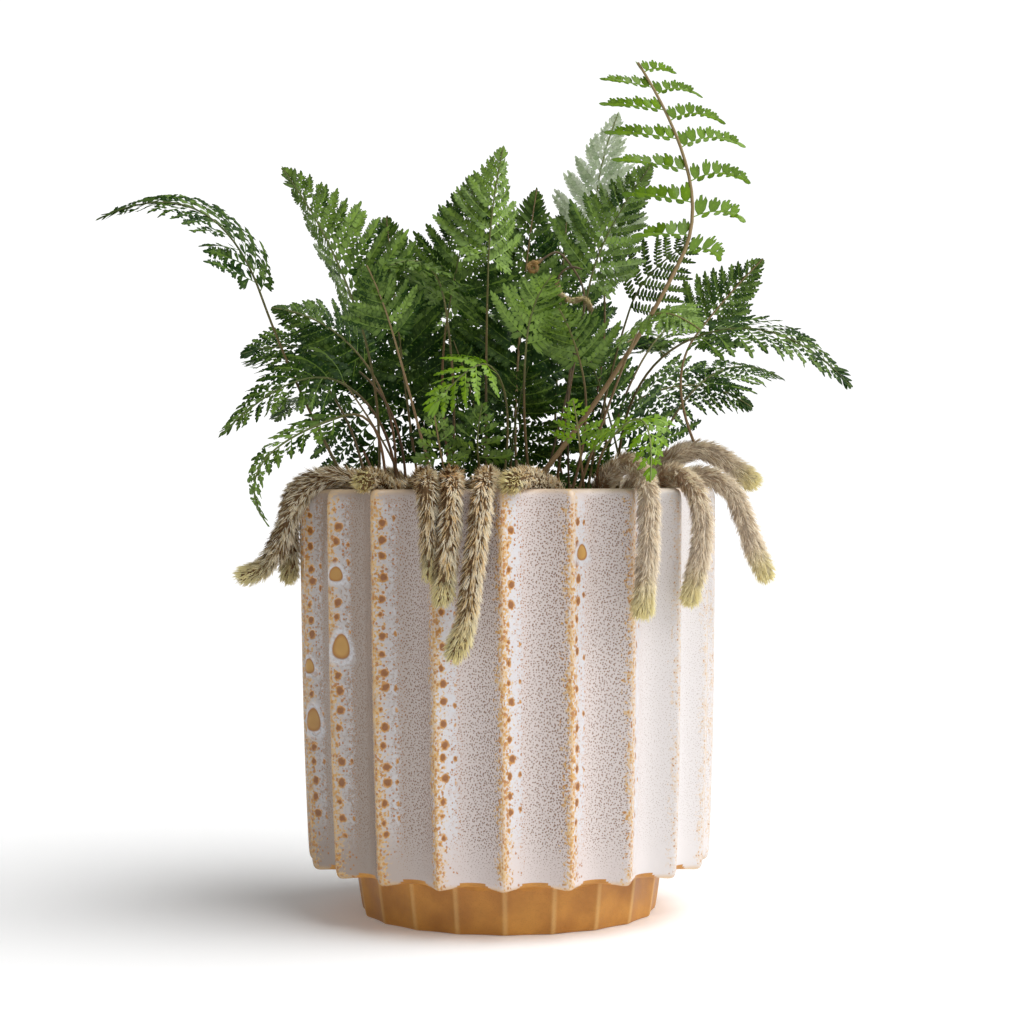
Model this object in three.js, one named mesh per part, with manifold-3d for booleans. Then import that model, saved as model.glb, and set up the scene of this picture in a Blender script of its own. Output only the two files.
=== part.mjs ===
// A rabbit's foot fern in a fluted stoneware planter, modelled in millimetres with Z up.
// The origin is the middle of the planter's flat base, and -Y is the side that faces a viewer.
// The planter is one glazed piece filled with potting mix. Furry rhizomes creep over the mix and
// hang over the rim, and each frond, a stalk with a much-divided triangular blade, grows from a
// rhizome or from the mix. Here a blade is a thin plate with the outline of the real one.
import * as THREE from "three";
import { mergeVertices } from "three/addons/utils/BufferGeometryUtils.js";
import Module from "manifold-3d";

// Planter
const FLUTES = 20;
const STEPS_PER_FLUTE = 4;
const FIRST_RIDGE_DEG = -1.6; // turn of one ridge from the -Y side, towards +X
const PLANTER_HEIGHT = 191;
const RIM_RADIUS = 95; // over the ridges
const WAIST_RADIUS = 94.2;
const WAIST_HEIGHT = 105;
const SKIRT_RADIUS = 91.6; // at the body's lower edge
const SKIRT_HEIGHT = 22; // of that edge above the floor
const SKIRT_ROUND = 4.5;
const UNDERCUT_RISE = 2.5; // how much the underside climbs from the edge to the foot
const FLUTE_DEPTH = 8.5;
const FOOT_TOP_RADIUS = 70;
const FOOT_RADIUS = 66.5;
const FOOT_ROUND = 1.5;
const FOOT_FLUTE_DEPTH = 1.6;
const RIM_ROUND = 2.5;
const INNER_RADIUS = 80.5; // at the rim
const INNER_SHOULDER_RADIUS = 76; // where the wall bends in towards the foot
const INNER_SHOULDER_HEIGHT = 36;
const INNER_FLOOR_RADIUS = 60;
const INNER_FLOOR_HEIGHT = 10;

// Potting mix
const MIX_EDGE_HEIGHT = 183;
const MIX_CROWN_HEIGHT = 186;

// Plant
const GAP = 0.3; // left between neighbouring pieces
const BLADE_GAP = 0.6; // the same between two blades
const WALL_GAP = 0.4; // the same between the mix and the planter's wall
const RHIZOME_RADIUS = 5;
const RHIZOME_SIDES = 6;
const RHIZOME_STEP = 11;
const STALK_RADIUS = 1.1;
const RACHIS_TIP_RADIUS = 0.5;
const STALK_STEPS = 6;
const RACHIS_STEPS = 4;
const STALK_SIDES = 4;
const KNEE_SHARE = 0.45; // of a stalk's length, where it turns to follow the blade
const BLADE_STATIONS = [0.02, 0.1, 0.2, 0.45, 0.7, 0.97]; // along the rachis
const BLADE_SHARES = [0.06, 0.7, 1, 0.7, 0.4, 0.05]; // of half the blade's width, at those stations
const BLADE_MIDDLE_THICKNESS = 1.4;
const BLADE_EDGE_THICKNESS = 0.8;
const BURIED = 3; // a stalk's path starts this far down in what it grows from

// The table below gives places as they look from the front, from this far away, at the height of
// the rim: x and z are measured on the plane through the planter's axis, and y is the depth.
const VIEW_DISTANCE = 1095;
const VIEW_HEIGHT = 196;

// The paths of the rhizomes, from the mix to the growing tip, and the radius at the tip.
const RHIZOMES = {
  rhizome_left: {
    tip: 3.6,
    path: [[-42, -26, 189], [-60, -27, 191.5], [-77, -29, 196.5], [-90, -30, 191], [-98, -32, 180],
      [-103, -34, 167], [-110, -36, 156], [-122, -38, 151]],
  },
  rhizome_left_short: {
    tip: 3.4,
    path: [[-56, 10, 189], [-72, 8, 193], [-86, 6, 196], [-97, 5, 188], [-98, 4, 170],
      [-99, 4, 149]],
  },
  rhizome_left_stub: {
    tip: 4,
    path: [[-50, -40, 189], [-56, -50, 192.5], [-61, -61, 195.5], [-66, -75, 194]],
  },
  rhizome_front_thin: {
    tip: 3,
    path: [[-42, -50, 189], [-40, -65, 192.5], [-37, -80, 196], [-36, -95, 190], [-35, -97, 172],
      [-34, -97, 149]],
  },
  rhizome_front_left: {
    tip: 3.6,
    path: [[-26, -48, 189], [-25, -65, 192.5], [-25, -82, 196], [-25, -97, 190],
      [-26, -101, 172], [-28, -101, 154], [-30, -101, 138]],
  },
  rhizome_front_long: {
    tip: 3.6,
    path: [[-6, -46, 189], [-7, -64, 192.5], [-9, -83, 196], [-11, -98, 190],
      [-13, -102, 172], [-16, -102, 150], [-19, -102, 130], [-25, -102, 113]],
  },
  rhizome_front_stub: {
    tip: 4.2,
    path: [[23, -56, 189], [16, -70, 192.5], [8, -85, 195.5], [0, -99, 193]],
  },
  rhizome_right_arched: {
    tip: 3.6,
    path: [[42, -52, 189], [46, -60, 196], [54, -66, 202], [61, -75, 197], [64, -85, 187],
      [64, -88, 170], [63, -88, 152], [61, -88, 132]],
  },
  rhizome_right_front: {
    tip: 3.4,
    path: [[58, -34, 189], [68, -40, 194], [76, -49, 197], [84, -60, 191], [88, -66, 180],
      [88, -66, 164], [85, -66, 150], [82, -66, 138]],
  },
  rhizome_right_outer: {
    tip: 3.6,
    path: [[60, -12, 189], [76, -16, 193.5], [90, -20, 196], [101, -24, 190], [107, -26, 178],
      [112, -26, 163], [118, -26, 149]],
  },
  rhizome_right_upper: {
    tip: 4,
    path: [[54, 12, 189], [65, 8, 197], [76, 4, 205], [88, 2, 208], [100, 0, 202],
      [113, -2, 192]],
  },
  rhizome_back_left: {
    tip: 3.4,
    path: [[-38, 46, 189], [-46, 58, 192.5], [-54, 70, 196], [-60, 82, 190], [-61, 86, 172],
      [-60, 86, 150]],
  },
  rhizome_back: {
    tip: 3.6,
    path: [[10, 50, 189], [10, 66, 192.5], [9, 82, 196], [8, 97, 190], [7, 102, 172],
      [5, 102, 150], [2, 102, 128]],
  },
  rhizome_back_right: {
    tip: 3.4,
    path: [[48, 42, 189], [56, 52, 192.5], [65, 63, 196], [74, 74, 190], [80, 82, 178],
      [87, 88, 168]],
  },
  rhizome_inner_left: {
    tip: 4,
    path: [[-50, 26, 188.5], [-36, 18, 189.5], [-22, 8, 190], [-8, 4, 190]],
  },
  rhizome_inner_right: {
    tip: 4,
    path: [[34, 32, 189], [26, 20, 189.8], [18, 6, 190], [14, -12, 190]],
  },
};

// Each frond's stalk foot, neck (where the blade starts), crown (the point that bends the blade)
// and tip, the blade's full width, and the way the upper face looks: a turn from -Y towards +X
// and a tilt above the horizon, in degrees.
const FRONDS = {
  frond_far_left: {
    foot: [-73, -28, 194], neck: [-111, -30, 279], crown: [-132, -35, 339], tip: [-185, -45, 313],
    width: 48, turn: -10, tilt: 66,
  },
  frond_left_tall: {
    foot: [-59, -30], neck: [-66, -42, 266], crown: [-78, -45, 305], tip: [-101, -35, 336],
    width: 72, turn: -15, tilt: 5,
  },
  frond_centre_tall: {
    foot: [-9, -22], neck: [-8, -30, 293], crown: [-7, -32, 318], tip: [-1, -30, 345],
    width: 64, turn: 0, tilt: 5,
  },
  frond_centre_back: {
    foot: [-22, 8], neck: [-26, 5, 272], crown: [-20, 8, 303], tip: [-13, 5, 333],
    width: 68, turn: -10, tilt: 0,
  },
  frond_front_small: {
    foot: [12, -48], neck: [9, -58, 256], crown: [11, -62, 277], tip: [21, -80, 287],
    width: 46, turn: 0, tilt: -15,
  },
  frond_right_broad: {
    foot: [21, -8], neck: [38, -22, 284], crown: [43, -25, 306], tip: [66, -20, 337],
    width: 62, turn: 10, tilt: 0,
  },
  frond_tall_young: {
    foot: [2, -45], neck: [80, -35, 296], crown: [95, -24, 327], tip: [60, -25, 383],
    width: 70, turn: 10, tilt: 15,
  },
  frond_right_upper: {
    foot: [88, 2, 204], neck: [86, 0, 260], crown: [99, 0, 277], tip: [116, -10, 294],
    width: 46, turn: 0, tilt: 10,
  },
  frond_right_long: {
    foot: [50, 15], neck: [86, -18, 259], crown: [124, -25, 273], tip: [156, -35, 236],
    width: 46, turn: 15, tilt: 58,
  },
  frond_right_low: {
    foot: [48, 42], neck: [60, 45, 231], crown: [87, 50, 245], tip: [111, 45, 227],
    width: 48, turn: 10, tilt: 35,
  },
  frond_right_arching: {
    foot: [29, -32], neck: [58, -51, 259], crown: [66, -59, 279], tip: [88, -83, 262],
    width: 58, turn: 10, tilt: 50,
  },
  frond_pale_back: {
    foot: [24, 42], neck: [42, 30, 299], crown: [37, 25, 326], tip: [51, 20, 360],
    width: 54, turn: -20, tilt: 0,
  },
  frond_right_comb: {
    foot: [35, 8], neck: [56, 0, 272], crown: [62, -4, 290], tip: [86, -12, 303],
    width: 50, turn: 0, tilt: 10,
  },
  frond_left_streaked: {
    foot: [-26, -32], neck: [-28, -45, 276], crown: [-32, -52, 300], tip: [-52, -80, 292],
    width: 60, turn: -10, tilt: 62,
  },
  frond_left_leaning: {
    foot: [-30, -54], neck: [-51, -60, 260], crown: [-56, -64, 278], tip: [-63, -78, 292],
    width: 44, turn: 0, tilt: 10,
  },
  frond_left_upper: {
    foot: [-52, 12], neck: [-64, 4, 248], crown: [-80, 2, 270], tip: [-106, -4, 273],
    width: 54, turn: 0, tilt: 25,
  },
  frond_left_drooping: {
    foot: [-49, -18], neck: [-73, -30, 238], crown: [-94, -38, 251], tip: [-130, -50, 215],
    width: 42, turn: -15, tilt: 60,
  },
  frond_left_middle: {
    foot: [-46, 15], neck: [-71, 22, 247], crown: [-94, 20, 261], tip: [-120, 10, 252],
    width: 48, turn: -15, tilt: 30,
  },
  frond_left_curled: {
    foot: [-55, -44], neck: [-74, -52, 224], crown: [-131, -62, 206], tip: [-108, -58, 174],
    width: 22, turn: -20, tilt: 45,
  },
  frond_low_grey: {
    foot: [-12, -62], neck: [-13, -70, 205], crown: [-14, -75, 216], tip: [-11, -84, 229],
    width: 28, turn: 0, tilt: 20,
  },
  frond_low_left: {
    foot: [-27, -60], neck: [-29, -68, 202], crown: [-31, -73, 213], tip: [-33, -82, 226],
    width: 26, turn: 0, tilt: 20,
  },
  frond_bright_curl: {
    foot: [-4, -66], neck: [-7, -72, 246], crown: [-14, -84, 252], tip: [-34, -92, 227],
    width: 30, turn: 0, tilt: 35,
  },
  frond_bright_right: {
    foot: [42, -58], neck: [47, -68, 213], crown: [68, -82, 238], tip: [65, -98, 194],
    width: 44, turn: 5, tilt: 40,
  },
  frond_bright_small: {
    foot: [36, -60], neck: [33, -70, 210], crown: [32, -74, 222], tip: [30, -84, 231],
    width: 30, turn: 0, tilt: -15,
  },
  frond_centre_behind: {
    foot: [6, 28], neck: [4, 24, 226], crown: [6, 22, 276], tip: [14, 20, 326],
    width: 80, turn: 5, tilt: 0,
  },
  frond_centre_rear: {
    foot: [30, 52], neck: [22, 48, 224], crown: [24, 50, 272], tip: [28, 55, 318],
    width: 86, turn: 5, tilt: 5,
  },
  frond_low_centre: {
    foot: [-2, 34], neck: [-10, 30, 206], crown: [-14, 24, 232], tip: [-24, 10, 258],
    width: 66, turn: 0, tilt: 25,
  },
  frond_low_right: {
    foot: [48, 20], neck: [50, 18, 208], crown: [44, 10, 236], tip: [34, -6, 258],
    width: 64, turn: 5, tilt: 20,
  },
  frond_low_inner: {
    foot: [0, 10], neck: [2, 4, 205], crown: [4, -4, 228], tip: [10, -20, 246],
    width: 62, turn: 0, tilt: 20,
  },
  frond_mid_right: {
    foot: [26, -40], neck: [34, -48, 245], crown: [30, -55, 262], tip: [24, -75, 272],
    width: 44, turn: 0, tilt: -20,
  },
  frond_left_rear: {
    foot: [-38, 42], neck: [-44, 40, 222], crown: [-50, 44, 270], tip: [-54, 46, 314],
    width: 84, turn: -10, tilt: 10,
  },
  frond_left_rear_low: {
    foot: [-43, 48], neck: [-56, 44, 212], crown: [-72, 44, 240], tip: [-92, 44, 262],
    width: 70, turn: -20, tilt: 20,
  },
  frond_rear_upright: {
    foot: [-12, 50], neck: [-22, 60, 226], crown: [-27, 74, 268], tip: [-30, 95, 303],
    width: 74, turn: 180, tilt: -15,
  },
  frond_rear_right: {
    foot: [40, 55], neck: [65, 68, 254], crown: [76, 80, 270], tip: [92, 98, 272],
    width: 56, turn: 0, tilt: 90,
  },
  frond_rear_arching_left: {
    foot: [-30, 55], neck: [-50, 85, 255], crown: [-62, 110, 280], tip: [-75, 140, 265],
    width: 56, turn: 0, tilt: 90,
  },
  frond_rear_arching: {
    foot: [8, 58], neck: [5, 90, 258], crown: [5, 118, 282], tip: [8, 150, 262],
    width: 58, turn: 0, tilt: 90,
  },
  frond_rear_arching_right: {
    foot: [52, 48], neck: [50, 85, 250], crown: [60, 105, 268], tip: [72, 132, 250],
    width: 54, turn: 0, tilt: 85,
  },
  frond_rear_low_left: {
    foot: [-55, 35], neck: [-78, 62, 228], crown: [-90, 78, 240], tip: [-105, 95, 222],
    width: 50, turn: 0, tilt: 85,
  },
  frond_side_right: {
    foot: [62, 25], neck: [88, 45, 238], crown: [104, 55, 252], tip: [125, 70, 240],
    width: 50, turn: 30, tilt: 70,
  },
  frond_side_left: {
    foot: [-62, 5], neck: [-84, 30, 240], crown: [-98, 40, 256], tip: [-118, 52, 248],
    width: 52, turn: -30, tilt: 70,
  },
};

// Young fronds that are still rolled up: the foot and the path of the stalk, then the coil at its end
// with its centre and radius, the angle at which it starts and the way it winds.
const CROZIER_RADIUS = 1.2;
const CROZIER_STEPS = 64;
const COIL_ANGLES = [0, 60, 120, 180, 240];
const CROZIERS = {
  crozier_left: {
    foot: [14, -14],
    path: [[33.5, -30, 262], [35, -33, 280], [29, -35, 292], [23, -36, 297.5]],
    centre: [12.5, -38, 290.7], radius: 2.1, start: 60, winding: 1,
  },
  crozier_right: {
    foot: [28, -16],
    path: [[29, -38, 245], [38, -45, 272]],
    centre: [31, -46, 283.5], radius: 7, start: -60, winding: -1,
  },
};

const COLOURS = {
  glaze: { color: 0xd9cfca, roughness: 0.3, metalness: 0 },
  mix: { color: 0x2e2119, roughness: 1, metalness: 0 },
  fur: { color: 0xa88d66, roughness: 0.95, metalness: 0 },
  leaf: { color: 0x3d6a2e, roughness: 0.55, metalness: 0 },
  bright: { color: 0x6fae2c, roughness: 0.55, metalness: 0 },
};

const wasm = await Module();
wasm.setup();

function solidOf(geometry) {
  geometry.deleteAttribute("normal");
  geometry.deleteAttribute("uv");
  const merged = mergeVertices(geometry, 1e-3);
  return new wasm.Manifold(
    new wasm.Mesh({
      numProp: 3,
      vertProperties: merged.attributes.position.array,
      triVerts: new Uint32Array(merged.index.array),
    }),
  );
}

function geometryOf(solid) {
  const mesh = solid.getMesh();
  const geometry = new THREE.BufferGeometry();
  geometry.setAttribute("position", new THREE.BufferAttribute(mesh.vertProperties, 3));
  geometry.setIndex(new THREE.BufferAttribute(mesh.triVerts, 1));
  geometry.computeVertexNormals();
  return geometry;
}

// A point given as it looks from the front, placed at its depth.
function seen([x, y, z]) {
  const scale = 1 + y / VIEW_DISTANCE;
  return new THREE.Vector3(x * scale, y, VIEW_HEIGHT + (z - VIEW_HEIGHT) * scale);
}

// A closed skin over a row of rings that have the same number of points.
function skin(rings) {
  const sides = rings[0].length;
  const position = rings.flat().flatMap((point) => [point.x, point.y, point.z]);
  const index = [];
  for (let ring = 0; ring + 1 < rings.length; ring++) {
    for (let side = 0; side < sides; side++) {
      const a = ring * sides + side;
      const b = ring * sides + ((side + 1) % sides);
      index.push(a, b, a + sides, b, b + sides, a + sides);
    }
  }
  const last = (rings.length - 1) * sides;
  for (let side = 1; side + 1 < sides; side++) {
    index.push(0, side + 1, side);
    index.push(last, last + side, last + side + 1);
  }
  const geometry = new THREE.BufferGeometry();
  geometry.setAttribute("position", new THREE.Float32BufferAttribute(position, 3));
  geometry.setIndex(index);
  return geometry;
}

// A tube of the given radius, a function of the share of its length, along a curve.
function tube(curve, steps, sides, radiusAt) {
  const frames = curve.computeFrenetFrames(steps, false);
  const rings = [];
  for (let step = 0; step <= steps; step++) {
    const share = step / steps;
    const centre = curve.getPointAt(share);
    const ring = [];
    for (let side = 0; side < sides; side++) {
      const angle = (2 * Math.PI * side) / sides;
      ring.push(
        centre
          .clone()
          .addScaledVector(frames.normals[step], radiusAt(share) * Math.cos(angle))
          .addScaledVector(frames.binormals[step], radiusAt(share) * Math.sin(angle)),
      );
    }
    rings.push(ring);
  }
  return solidOf(skin(rings));
}

// How deep the flutes are at an angle: 0 on a ridge, 1 in the middle of a flute.
function fluteShare(angle) {
  const pitch = (2 * Math.PI) / FLUTES;
  const turns = (angle - THREE.MathUtils.degToRad(FIRST_RIDGE_DEG)) / pitch;
  const across = 2 * (turns - Math.floor(turns + 1e-6)) - 1;
  return Math.max(0, 1 - across * across);
}

// A turned profile whose points may be fluted: each is [radius, height, depth of the flutes].
function fluted(profile) {
  const segments = FLUTES * STEPS_PER_FLUTE;
  const points = profile.map(([radius, height]) => new THREE.Vector2(radius, height));
  const start = THREE.MathUtils.degToRad(FIRST_RIDGE_DEG);
  const geometry = new THREE.LatheGeometry(points, segments, start);
  const position = geometry.attributes.position;
  for (let vertex = 0; vertex < position.count; vertex++) {
    const x = position.getX(vertex);
    const z = position.getZ(vertex);
    const radius = Math.hypot(x, z);
    const depth = profile[vertex % profile.length][2];
    if (radius < 1 || depth === 0) continue;
    const share = (radius - depth * fluteShare(Math.atan2(x, z))) / radius;
    position.setX(vertex, x * share);
    position.setZ(vertex, z * share);
  }
  return solidOf(geometry.rotateX(Math.PI / 2));
}

function planterSolid(grow) {
  const body = FLUTE_DEPTH;
  const foot = FOOT_FLUTE_DEPTH;
  const rim = PLANTER_HEIGHT + grow;
  return fluted([
    [0, 0, 0],
    [FOOT_RADIUS - FOOT_ROUND, 0, foot],
    [FOOT_RADIUS, FOOT_ROUND, foot],
    [FOOT_TOP_RADIUS, SKIRT_HEIGHT + UNDERCUT_RISE, foot],
    [SKIRT_RADIUS - SKIRT_ROUND, SKIRT_HEIGHT, body],
    [SKIRT_RADIUS + grow, SKIRT_HEIGHT + SKIRT_ROUND, body],
    [WAIST_RADIUS + grow, WAIST_HEIGHT, body],
    [RIM_RADIUS + grow, rim - RIM_ROUND, body],
    [RIM_RADIUS + grow - RIM_ROUND, rim, body],
    [INNER_RADIUS - grow + RIM_ROUND, rim, 0],
    [INNER_RADIUS - grow, rim - RIM_ROUND, 0],
    [INNER_SHOULDER_RADIUS - grow, INNER_SHOULDER_HEIGHT, 0],
    [INNER_FLOOR_RADIUS - grow, INNER_FLOOR_HEIGHT + grow, 0],
    [0, INNER_FLOOR_HEIGHT + grow, 0],
  ]);
}

function mixSolid(grow) {
  const floor = INNER_FLOOR_HEIGHT + GAP;
  const edge = MIX_EDGE_HEIGHT + grow;
  const crown = MIX_CROWN_HEIGHT + grow;
  const wall = INNER_RADIUS - INNER_SHOULDER_RADIUS;
  const drop = (PLANTER_HEIGHT - RIM_ROUND - MIX_EDGE_HEIGHT);
  const rise = PLANTER_HEIGHT - RIM_ROUND - INNER_SHOULDER_HEIGHT;
  const edgeRadius = INNER_RADIUS - (wall * drop) / rise - WALL_GAP;
  return fluted([
    [0, floor, 0],
    [INNER_FLOOR_RADIUS - WALL_GAP, floor, 0],
    [INNER_SHOULDER_RADIUS - WALL_GAP, INNER_SHOULDER_HEIGHT, 0],
    [edgeRadius, edge, 0],
    [edgeRadius / 2, (edge + 2 * crown) / 3, 0],
    [0, crown, 0],
  ]);
}

function rhizomeSolid({ path, tip }, grow) {
  const curve = new THREE.CatmullRomCurve3(path.map(seen));
  const steps = Math.round(curve.getLength() / RHIZOME_STEP);
  return tube(curve, steps, RHIZOME_SIDES, (share) => {
    const slim = RHIZOME_RADIUS + (tip - RHIZOME_RADIUS) * Math.max(0, share - 0.6) / 0.4;
    return slim + grow;
  });
}

// The two curves of a frond's spine: the stalk, up to the neck, and the blade's rachis.
function spineOf({ foot, neck, crown, tip }) {
  const start = seen([foot[0], foot[1], foot[2] ?? MIX_EDGE_HEIGHT - BURIED]);
  const middle = seen(neck);
  const bend = seen(crown);
  const reach = KNEE_SHARE * start.distanceTo(middle);
  const knee = middle.clone().addScaledVector(bend.clone().sub(middle).normalize(), -reach);
  return {
    stalk: new THREE.QuadraticBezierCurve3(start, knee, middle),
    rachis: new THREE.QuadraticBezierCurve3(middle, bend, seen(tip)),
  };
}

function stemSolid(frond, grow) {
  const { stalk, rachis } = spineOf(frond);
  const path = new THREE.CurvePath();
  path.add(stalk);
  path.add(rachis);
  return tube(path, STALK_STEPS + RACHIS_STEPS, STALK_SIDES, (share) => {
    return STALK_RADIUS + (RACHIS_TIP_RADIUS - STALK_RADIUS) * share + grow;
  });
}

function facing(turnDeg, tiltDeg) {
  const turn = THREE.MathUtils.degToRad(turnDeg);
  const tilt = THREE.MathUtils.degToRad(tiltDeg);
  return new THREE.Vector3(
    Math.sin(turn) * Math.cos(tilt),
    -Math.cos(turn) * Math.cos(tilt),
    Math.sin(tilt),
  );
}

function bladeSolid(frond, grow) {
  const { rachis } = spineOf(frond);
  const chord = rachis.v2.clone().sub(rachis.v0);
  const side = facing(frond.turn, frond.tilt).cross(chord).normalize();
  const middle = BLADE_MIDDLE_THICKNESS / 2 + grow;
  const edge = BLADE_EDGE_THICKNESS / 2 + grow;
  const rings = BLADE_STATIONS.map((share, station) => {
    const centre = rachis.getPoint(share);
    const up = rachis.getTangent(share).cross(side).normalize();
    const half = (frond.width / 2) * BLADE_SHARES[station] + grow;
    const corner = (across, over) =>
      centre.clone().addScaledVector(side, across).addScaledVector(up, over);
    return [
      corner(half, edge), corner(0, middle), corner(-half, edge),
      corner(-half, -edge), corner(0, -middle), corner(half, -edge),
    ];
  });
  return solidOf(skin(rings));
}

function crozierSolid({ foot, path, centre, radius, start, winding }, grow) {
  const middle = seen(centre);
  const points = [[...foot, MIX_EDGE_HEIGHT - BURIED], ...path].map(seen);
  for (const degrees of COIL_ANGLES) {
    const angle = THREE.MathUtils.degToRad(start + winding * degrees);
    const offset = new THREE.Vector3(Math.cos(angle), 0, Math.sin(angle));
    points.push(middle.clone().addScaledVector(offset, radius));
  }
  const curve = new THREE.CatmullRomCurve3(points);
  return tube(curve, CROZIER_STEPS, STALK_SIDES, () => CROZIER_RADIUS + grow);
}

const apart = (one, other) => {
  const a = one.boundingBox();
  const b = other.boundingBox();
  return [0, 1, 2].some((axis) => a.max[axis] < b.min[axis] || b.max[axis] < a.min[axis]);
};

const cutBy = (solid, cutters) =>
  cutters.reduce((left, cutter) => (apart(left, cutter) ? left : left.subtract(cutter)), solid);

// Of a solid's separate bodies, the one that holds most of the core.
function bodyWith(solid, core) {
  const share = (body) => body.intersect(core).volume();
  return solid.decompose().reduce((best, body) => (share(body) > share(best) ? body : best));
}

const plant = new THREE.Group();

function add(name, solid, look) {
  const mesh = new THREE.Mesh(geometryOf(solid), new THREE.MeshStandardMaterial(look));
  mesh.name = name;
  plant.add(mesh);
}

add("planter", planterSolid(0), COLOURS.glaze);
add("potting_mix", mixSolid(0), COLOURS.mix);

// What grows later is cut back by the gap from what was there before it. A stalk that starts
// inside a rhizome or the mix therefore ends on its surface.
const ground = [planterSolid(GAP), mixSolid(GAP)];
for (const [name, rhizome] of Object.entries(RHIZOMES)) {
  const whole = rhizomeSolid(rhizome, 0);
  add(name, bodyWith(cutBy(whole, ground), whole), COLOURS.fur);
  ground.push(rhizomeSolid(rhizome, GAP));
}

const stems = new Map();
for (const [name, frond] of Object.entries(FRONDS)) {
  stems.set(name, stemSolid(frond, GAP));
}
for (const [name, crozier] of Object.entries(CROZIERS)) {
  stems.set(name, crozierSolid(crozier, GAP));
  const whole = crozierSolid(crozier, 0);
  add(name, bodyWith(cutBy(whole, ground), whole), COLOURS.fur);
}

const blades = [];
for (const [name, frond] of Object.entries(FRONDS)) {
  const stem = stemSolid(frond, 0);
  const otherStems = [...stems].filter(([other]) => other !== name).map(([, solid]) => solid);
  const blade = cutBy(bladeSolid(frond, 0), [...otherStems, ...blades]);
  const whole = cutBy(stem.add(blade), ground);
  const bright = name.startsWith("frond_bright");
  add(name, bodyWith(whole, stem), bright ? COLOURS.bright : COLOURS.leaf);
  blades.push(bladeSolid(frond, BLADE_GAP));
}

export default plant;
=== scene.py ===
"""A rabbit's foot fern in a fluted stoneware planter.

Lengths in the tables are millimetres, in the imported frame: Z is up, the origin is the middle of the
planter's base, and -Y is the side that faces a viewer.
"""
import math

import bmesh
import bpy
import numpy as np
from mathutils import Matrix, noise


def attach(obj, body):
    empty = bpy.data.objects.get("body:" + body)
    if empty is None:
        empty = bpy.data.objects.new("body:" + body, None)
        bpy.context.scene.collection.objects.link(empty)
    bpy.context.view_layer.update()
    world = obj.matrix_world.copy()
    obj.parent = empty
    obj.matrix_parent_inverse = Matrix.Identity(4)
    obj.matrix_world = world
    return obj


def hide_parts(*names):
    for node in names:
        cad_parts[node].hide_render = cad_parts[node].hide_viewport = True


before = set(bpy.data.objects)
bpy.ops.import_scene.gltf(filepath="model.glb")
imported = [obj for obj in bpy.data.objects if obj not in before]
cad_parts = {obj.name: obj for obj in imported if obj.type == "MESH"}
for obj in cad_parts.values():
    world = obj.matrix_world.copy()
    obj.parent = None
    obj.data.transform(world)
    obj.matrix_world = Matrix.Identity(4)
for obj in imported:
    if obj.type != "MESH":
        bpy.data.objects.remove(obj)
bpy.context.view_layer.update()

bl_info = {
    "name": "Potted Rabbit's Foot Fern",
    "version": (1, 0, 0),
    "blender": (4, 5, 0),
    "location": "View3D > Sidebar > Fern",
    "description": "Models a rabbit's foot fern in a fluted stoneware planter",
    "category": "Object",
}

MM = 0.001

# Planter: [radius, height, flute depth, share of the lip's rise] of each ring, from the middle of
# the underside, up the outside, over the rim and down to the inner floor.
PLANTER_RINGS = [
    [62, 0, 1.6, 0],
    [65.4, 0, 1.6, 0],
    [66.3, 0.4, 1.6, 0],
    [66.8, 1.6, 1.6, 0],
    [68.3, 12, 1.6, 0],
    [69.6, 21, 1.6, 0],
    [70, 24.2, 1.6, 0.6],
    [71.2, 24.9, 2.2, 0.8],
    [76, 24.2, 4.5, 1],
    [82, 23.2, 7, 1],
    [86, 22.3, 8.5, 1],
    [88.6, 22, 8.5, 1],
    [90.5, 22.8, 8.5, 0.8],
    [91.4, 24.8, 8.5, 0.5],
    [91.8, 28, 8.5, 0.2],
    [92.4, 42, 8.5, 0],
    [93.6, 75, 8.5, 0],
    [94.2, 105, 8.5, 0],
    [94.6, 140, 8.5, 0],
    [94.9, 170, 8.5, 0],
    [95, 184, 8.5, 0],
    [94.9, 187.4, 8.5, 0],
    [94.3, 189.6, 8.4, 0],
    [92.8, 190.8, 8, 0],
    [90.2, 191, 6, 0],
    [86.5, 191, 2.4, 0],
    [83.4, 190.8, 0.2, 0],
    [81.4, 189.8, 0, 0],
    [80.7, 187.8, 0, 0],
    [80.3, 180, 0, 0],
    [78.2, 110, 0, 0],
    [76, 38, 0, 0],
    [72, 24, 0, 0],
    [61, 10.6, 0, 0],
    [57, 10, 0, 0],
]
COLUMNS_PER_FLUTE = 12
FLUTE_DEPTH = 8.5  # on the wall
WALL_RINGS = np.array(PLANTER_RINGS[11:22])  # from the lower lip to the rim's outer edge
WALL_TOP = 191
INNER_WALL = 80  # radius inside the rim
MEAN_RADIUS = 90  # of the wall, on which the width of a glaze drop is measured

# The potting mix: radius and height of its underside and of its lower shoulder, then the radius
# and the share of the crown's rise of each ring on its top.
MIX_FOOT = (59.4, 10.4)
MIX_SHOULDER = (75.4, 36)
MIX_TOP = [(79.7, 0), (76, 0.2), (66, 0.4), (54, 0.6), (42, 0.75), (30, 0.88), (18, 0.96), (7, 1)]

LIT_SIDE = 0.32  # how much paler the hairs are on the side towards +X
HAIR_GAP = 0.3  # between the wall and the hairs that lie on it
RIM_GAP = 0.2  # between the rim and the hairs that lie on it
RIM_ROUNDING = 1.5  # how far below the rim's top the wall counts as upright
TUFTS_ROUND = 9  # tufts of hair round a rhizome
TUFT_LENGTH = 2.6
CORE_SIDES = 12  # of the tube under the fur

# The tables below give places as they look from the front, from this far away, at this height:
# x and z are measured on the plane through the planter's axis, and y is the depth.
VIEW_DISTANCE = 1095
VIEW_HEIGHT = 196

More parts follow.
